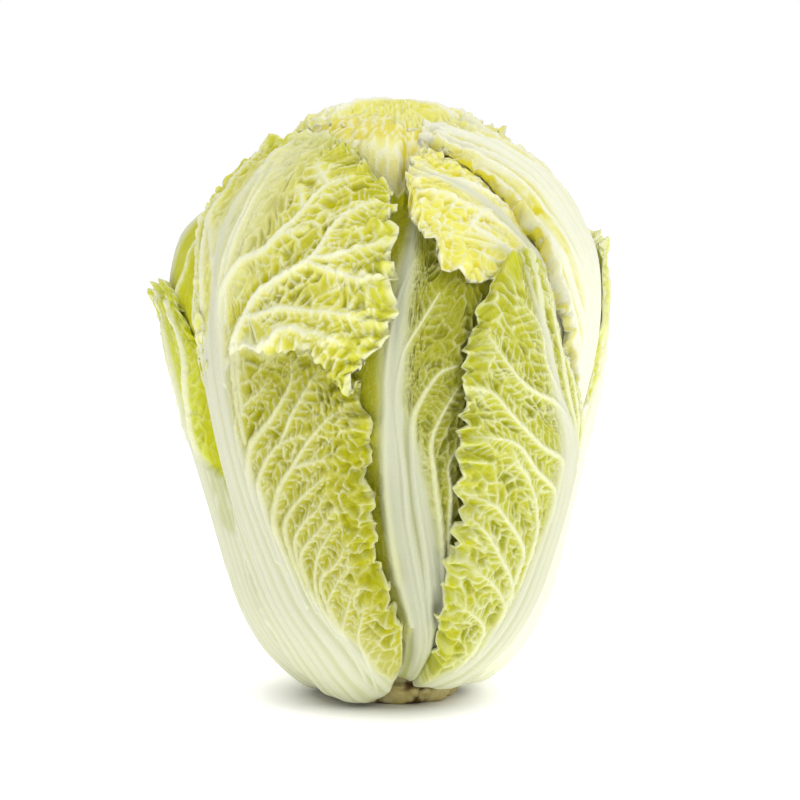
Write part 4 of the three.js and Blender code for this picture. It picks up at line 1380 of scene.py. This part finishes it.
def build_leaves() -> None:
    """Builds and dresses the nine leaves."""
    for shape, finish in LEAVES:
        piece = closed_leaf(shape.name, *LeafSurface(shape).build())
        dress(piece, shape.node, finish.make(shape.name + "_skin"))


def closed_rings(name: str, points: Array, low: Array, high: Array) -> bpy.types.Object:
    """Joins rings of points into a closed body.

    Args:
        name: the piece's name.
        points: the rings, one a row, from the lowest up.
        low, high: the points that close it at each end.

    Returns:
        The new object.
    """
    rows, columns = points.shape[:2]
    count = rows * columns
    index = np.arange(count).reshape(rows, columns)
    after = np.roll(index, -1, axis=1)
    quads = np.stack([index[:-1], after[:-1], after[1:], index[1:]], -1).reshape(-1, 4)
    bottom = np.stack([np.full(columns, count), after[0], index[0]], -1)
    top = np.stack([np.full(columns, count + 1), index[-1], after[-1]], -1)
    loops = np.concatenate([quads.ravel(), bottom.ravel(), top.ravel()])
    counts = np.concatenate([np.full(len(quads), 4), np.full(2 * columns, 3)])
    return add_mesh(name, np.concatenate([points.reshape(-1, 3), [low, high]]), loops, counts)


@dataclass
class Heart:
    """The dense core of wrapped young leaves, whose tips stand out, wrinkled, at the crown."""

    columns: int = 220
    rows: int = 110
    lowest_tilt: float = -83.0
    tilt_sweep: float = 172.7
    top_crowding: float = 1.5  # power that brings the rings closer together towards the crown
    front_crowding: float = 0.55
    depth: float = 15.4
    base_depth: float = 4.5
    hollow: float = 9.4
    crown_rise: float = 6.0
    tip_rise: float = 9.0
    tip_height: float = 246.0
    bottom: float = 26.8
    net_cell: float = 5.0
    sheet_size: tuple = (17.0, 13.0)
    sheet_rise: float = 2.4
    sheet_warp: float = 3.5
    crevice_width: float = 1.1
    seed: int = 41
    finish: LeafFinish = LeafFinish(
        blade=rgb(251, 248, 190), deep_and_pleat_shade=rgb(238, 227, 40), shade=rgb(248, 243, 140), vein=rgb(252, 251, 226),
        rim=rgb(240, 236, 140), crease=rgb(228, 214, 0))

    def build(self) -> None:
        """Builds the heart as rings of points from the stem to the crown.

        The rings and their points are closer together at the top and the front. The crown and the leaf tips
        at the front stand out further than the rest, and on the crown sheets overlap with crevices between
        them and wrinkles across them. Shade is painted into the crevices and the wrinkles' valleys, on the
        top under the back leaf's lip, and on the heart below the crown.
        """
        t = np.linspace(0, 1, self.rows + 1)
        tilt = np.radians(self.lowest_tilt + self.tilt_sweep * (1 - (1 - t) ** self.top_crowding))[:, None]
        turn = 2 * np.pi * np.arange(self.columns)[None, :] / self.columns
        turn = turn - self.front_crowding * np.sin(turn)
        direction = np.stack([np.cos(tilt) * np.sin(turn), -np.cos(tilt) * np.cos(turn),
                              np.sin(tilt) * np.ones_like(turn)], -1)
        azimuth, height = HEAD.place(direction)
        hollow = smooth(-54, -34, azimuth) * (1 - smooth(92, 116, azimuth)) * (1 - smooth(236, 262, height))
        lowest = self.tip_height + 0.1 * np.maximum(0, -5 - azimuth) + 1.4 * np.maximum(0, azimuth)
        front = smooth(-92, -78, azimuth) * (1 - smooth(4, 12, azimuth))
        tips = front * smooth(0, 9, height - lowest)
        sink = self.depth + self.base_depth * (1 - smooth(30, 120, height)) + self.hollow * hollow
        sink = sink - np.maximum(self.crown_rise * smooth(252, 264, height), self.tip_rise * tips)
        bare = HEAD.point(direction, sink)
        x, y = bare[..., 0], bare[..., 1] * 0.8 + bare[..., 2] * 0.6
        crown = smooth(232, 250, height)
        valley = np.abs(noise(x / 6, y / 8, self.seed)) + 0.4 * np.abs(noise(x / 2.4, y / 2.8, self.seed + 1))
        wall, _ = cell_net(x / self.net_cell, y / self.net_cell, self.seed + 2)
        pit = 1 - bell(wall, 0.2)
        bend_x, bend_y = (self.sheet_warp * noise(x / 8, y / 8, self.seed + k) for k in (3, 4))
        wide, long = self.sheet_size
        edge, sheet = cell_net((x + bend_x) / wide, (y + bend_y) / long, self.seed + 5)
        crevice = bell(edge * (wide + long) / 2, self.crevice_width)
        grown = (1.0 * valley + self.sheet_rise * sheet - 1.2 - 0.3 * pit - 1.6 * crevice) * crown
        points = HEAD.point(direction, sink - grown)
        points[..., 2] = np.maximum(points[..., 2], self.bottom)
        top = np.array([0, 0, points[-1, :, 2].mean()])
        piece = closed_rings("heart_leaves", points, np.array([0, 0, self.bottom]), top)
        # Painted shade: the heart below the crown, tucked under the outer leaves, and its top under the back
        # leaf's lip take the crease colour.
        wrapped = np.maximum(1 - smooth(244, 252, height), 0.8 * smooth(256, 260, height + 2 * valley))
        none = np.zeros(points.shape[:2])
        values = dict.fromkeys(("fine", "stalk", "rim", "hollow", "open", "cream"), none)
        values |= {
            "vein": bell(wall, 0.1) * 0.8,
            "pit": 0.25 * pit,
            # crease colour: painted shade in the crevices, the wrinkles' valleys and the parts marked above
            "crease": np.maximum(np.maximum(crevice, 0.3 * smooth(0.12, 0.02, valley)), wrapped),
            "tone": 0.5 + 0.5 * noise(x / 15, y / 15, self.seed + 6),
            "leaf_x": x,
            "leaf_y": y,
        }
        set_values(piece, {key: np.concatenate([value.ravel(), [0.0, 0.0]]) for key, value in values.items()})
        dress(piece, "heart", self.finish.make("heart_leaf_skin"))


@dataclass
class Stem:
    """The cut stem: rough and ragged round the cut, with torn leaf bases above it at the front."""

    columns: int = 160
    rows: int = 70
    cut_height: float = 2.0
    cut_radius: float = 24.5
    ledge_height: float = 12.0
    top_height: float = 26.0
    cone_degrees: float = 13.1
    cone_height: float = 14.0
    flare: float = 3.6
    scrap_azimuth: float = -62.0  # a dark torn scrap of an outer leaf's base
    scrap_height: float = 4.0
    scrap_reach: float = 9.5
    grain_radius: float = 30.0
    seed: int = 51
    finish: StemFinish = StemFinish()

    def build(self) -> None:
        """Builds the stem as rings round the axis, roughened by noise."""
        slope = np.tan(np.radians(self.cone_degrees))
        cone = [(HEAD.centre_height - z) * slope for z in (self.cone_height, self.top_height)]
        corners = np.array([
            [0.0, self.cut_height],
            [self.cut_radius - 1.2, self.cut_height],
            [self.cut_radius, self.cut_height + 1],
            [self.cut_radius + 0.4, 6.0],
            [self.cut_radius + 0.6, self.ledge_height - 1],
            [cone[0], self.ledge_height + 1],
            [cone[1], self.top_height],
            [0.0, self.top_height],
        ])
        run = np.concatenate([[0], np.cumsum(np.linalg.norm(np.diff(corners, axis=0), axis=1))])
        t = np.linspace(0.01, 0.99, self.rows) * run[-1]
        radius = np.interp(t, run, corners[:, 0])[:, None]
        z = np.interp(t, run, corners[:, 1])[:, None]
        turn = 2 * np.pi * np.arange(self.columns)[None, :] / self.columns
        azimuth = np.degrees((turn + np.pi) % (2 * np.pi) - np.pi)
        front = smooth(-34, -10, azimuth) * (1 - smooth(48, 78, azimuth))
        below = 1 - smooth(self.ledge_height - 0.5, self.ledge_height, z)
        flare = self.flare * front * below * smooth(self.cut_height, self.ledge_height, z)
        around = self.grain_radius * np.cos(turn), self.grain_radius * np.sin(turn)
        ridge = np.abs(noise(around[0] / 7 + z / 9, around[1] / 7, self.seed)) * 3.4
        grooves = ridge + 1.6 * noise(around[0] / 2.6, around[1] / 2.6 + z / 2, self.seed + 1) - 1.4
        side = smooth(15, 22, radius) * below
        scrap = np.exp(-(((azimuth - self.scrap_azimuth) / 9) ** 2) - ((z - self.scrap_height) / 1.3) ** 2)
        grown = radius + side * (flare + grooves + self.scrap_reach * scrap)
        bottom = z <= self.cut_height + 0.01
        worn = 0.5 * np.clip(noise(turn * 4, radius / 5, self.seed + 2), 0, 1)
        hollow = np.where(bottom, worn * (radius < 21), 0)
        points = np.stack([grown * np.sin(turn), -grown * np.cos(turn), z + hollow + 0 * turn], -1)
        ends = np.array([[0, 0, self.cut_height], [0, 0, self.top_height]])
        piece = closed_rings("stem_cut", points, *ends)
        patches = noise(around[0] / 4, around[1] / 4 + z / 3, self.seed + 3)
        rim = bell(z - self.ledge_height + 1.6 + patches, 1.8)
        rim = rim + bell(z - self.cut_height + patches, 1.5)
        brown = np.clip(1.2 * rim + 0.9 * (0.6 - ridge) + 1.4 * np.maximum(patches - 0.1, 0), 0, 1)
        brown = np.maximum(brown, 0.8 * scrap * side)
        set_values(piece, {"brown": np.concatenate([brown.ravel(), [0.6, 0.2]])})
        dress(piece, "cut_stem", self.finish.make("dry_cut_stem"))


@dataclass
class Studio:
    """White floor, soft light and the photograph's camera."""

    distance: float = 1.25
    elevation: float = 7.0
    pixel: float = 0.000444
    aim_height: float = 0.1325
    sensor: float = 36.0
    picture: int = 800
    # Inside shadow_radius the floor's glow is off: a painted contact shadow round the stem.
    shadow_radius: float = 0.03  # the floor glows beyond this, fully beyond the next
    clear_radius: float = 0.07
    shift_pixels: float = 2.0
    view_length: float = 30.0
    floor_radius: float = 6.0
    floor_glow: float = 0.64
    surround: float = 0.45
    lights: tuple = (  # name, place, target, width and watts of each
        ("overhead", (0.0, 0.1, 1.9), (0, 0, 0), 2.6, 21),
        ("front_right", (1.0, -1.1, 1.0), (0, 0, 0.14), 0.7, 5.2),
        ("front_left", (-1.0, -1.2, 0.5), (0, 0, 0.12), 0.9, 1.0),
    )

    def build(self) -> None:
        """Makes the camera, the floor and the lights."""
        self._camera()
        self._floor()
        self._lights()

    def _camera(self) -> None:
        """Looks a little down at the head's middle from the front, with a long lens."""
        tilt = np.radians(self.elevation)
        side = AXIS_OFFSET[0] * MM + self.shift_pixels * self.pixel
        aim = Vector((side, AXIS_OFFSET[1] * MM, self.aim_height))
        data = bpy.data.cameras.new("camera")
        data.sensor_width = self.sensor
        data.lens = self.sensor * self.distance / (self.picture * self.pixel)
        data.clip_end = self.view_length
        camera = bpy.data.objects.new("camera", data)
        camera.location = aim + Vector((0, -np.cos(tilt), np.sin(tilt))) * self.distance
        camera.rotation_euler = (aim - camera.location).to_track_quat("-Z", "Y").to_euler()
        bpy.context.collection.objects.link(camera)
        bpy.context.scene.camera = camera

    def _floor(self) -> None:
        """A white disc, bright enough to vanish into the white round it, whose glow fades out near the stem
        in a painted contact shadow.
        """
        bpy.ops.mesh.primitive_circle_add(vertices=96, radius=self.floor_radius, fill_type="NGON")
        floor = bpy.context.object
        floor.name = "floor"
        material, bench, shader = new_material("white_floor_painted_shadow")
        place = bench.node("ShaderNodeTexCoord", {}, {}).outputs["Object"]
        away = bench.node("ShaderNodeVectorMath", {"operation": "LENGTH"}, {0: place}).outputs["Value"]
        # Painted contact shadow: the glow is off round the stem and rises to full by clear_radius.
        share = Value(bench, away).between(self.shadow_radius, self.clear_radius)
        bench.fill(shader, {
            "Base Color": (0.9, 0.9, 0.9, 1),
            "Roughness": 0.9,
            "Specular IOR Level": 0.0,
            "Emission Color": bench.mix(share, (0, 0, 0, 1), (1, 1, 1, 1)),
            "Emission Strength": self.floor_glow,
        })
        floor.data.materials.append(material)

    def _lights(self) -> None:
        """A white surround, a wide light overhead, and soft lights from the front right and front left."""
        world = bpy.data.worlds.new("surround")
        world.use_nodes = True
        bench = Bench(world.node_tree)
        world.node_tree.nodes.clear()
        seen, cast = (
            bench.node("ShaderNodeBackground", {}, {"Color": (1, 1, 1, 1), "Strength": strength}).outputs[0]
            for strength in (1.0, self.surround))
        seen_directly = bench.node("ShaderNodeLightPath", {}, {}).outputs["Is Camera Ray"]
        mixed = bench.node("ShaderNodeMixShader", {}, {0: seen_directly, 1: cast, 2: seen})
        bench.node("ShaderNodeOutputWorld", {}, {0: mixed.outputs[0]})
        bpy.context.scene.world = world
        bpy.context.scene.view_settings.view_transform = "Standard"
        for light in self.lights:
            self._area(*light)

    def _area(self, name: str, place: tuple, target: tuple, size: float, power: float) -> None:
        """Adds a square soft light.

        Args:
            name: its name.
            place: where it is, in metres.
            target: what it faces.
            size: its width in metres.
            power: its power in watts.
        """
        data = bpy.data.lights.new(name, "AREA")
        data.size = size
        data.energy = power
        light = bpy.data.objects.new(name, data)
        light.location = place
        light.rotation_euler = (Vector(target) - Vector(place)).to_track_quat("-Z", "Y").to_euler()
        bpy.context.collection.objects.link(light)


def main() -> None:
    logging.basicConfig(level=logging.INFO, format="%(message)s")
    Studio().build()
    Stem().build()
    Heart().build()
    build_leaves()


if __name__ == "__main__":
    main()
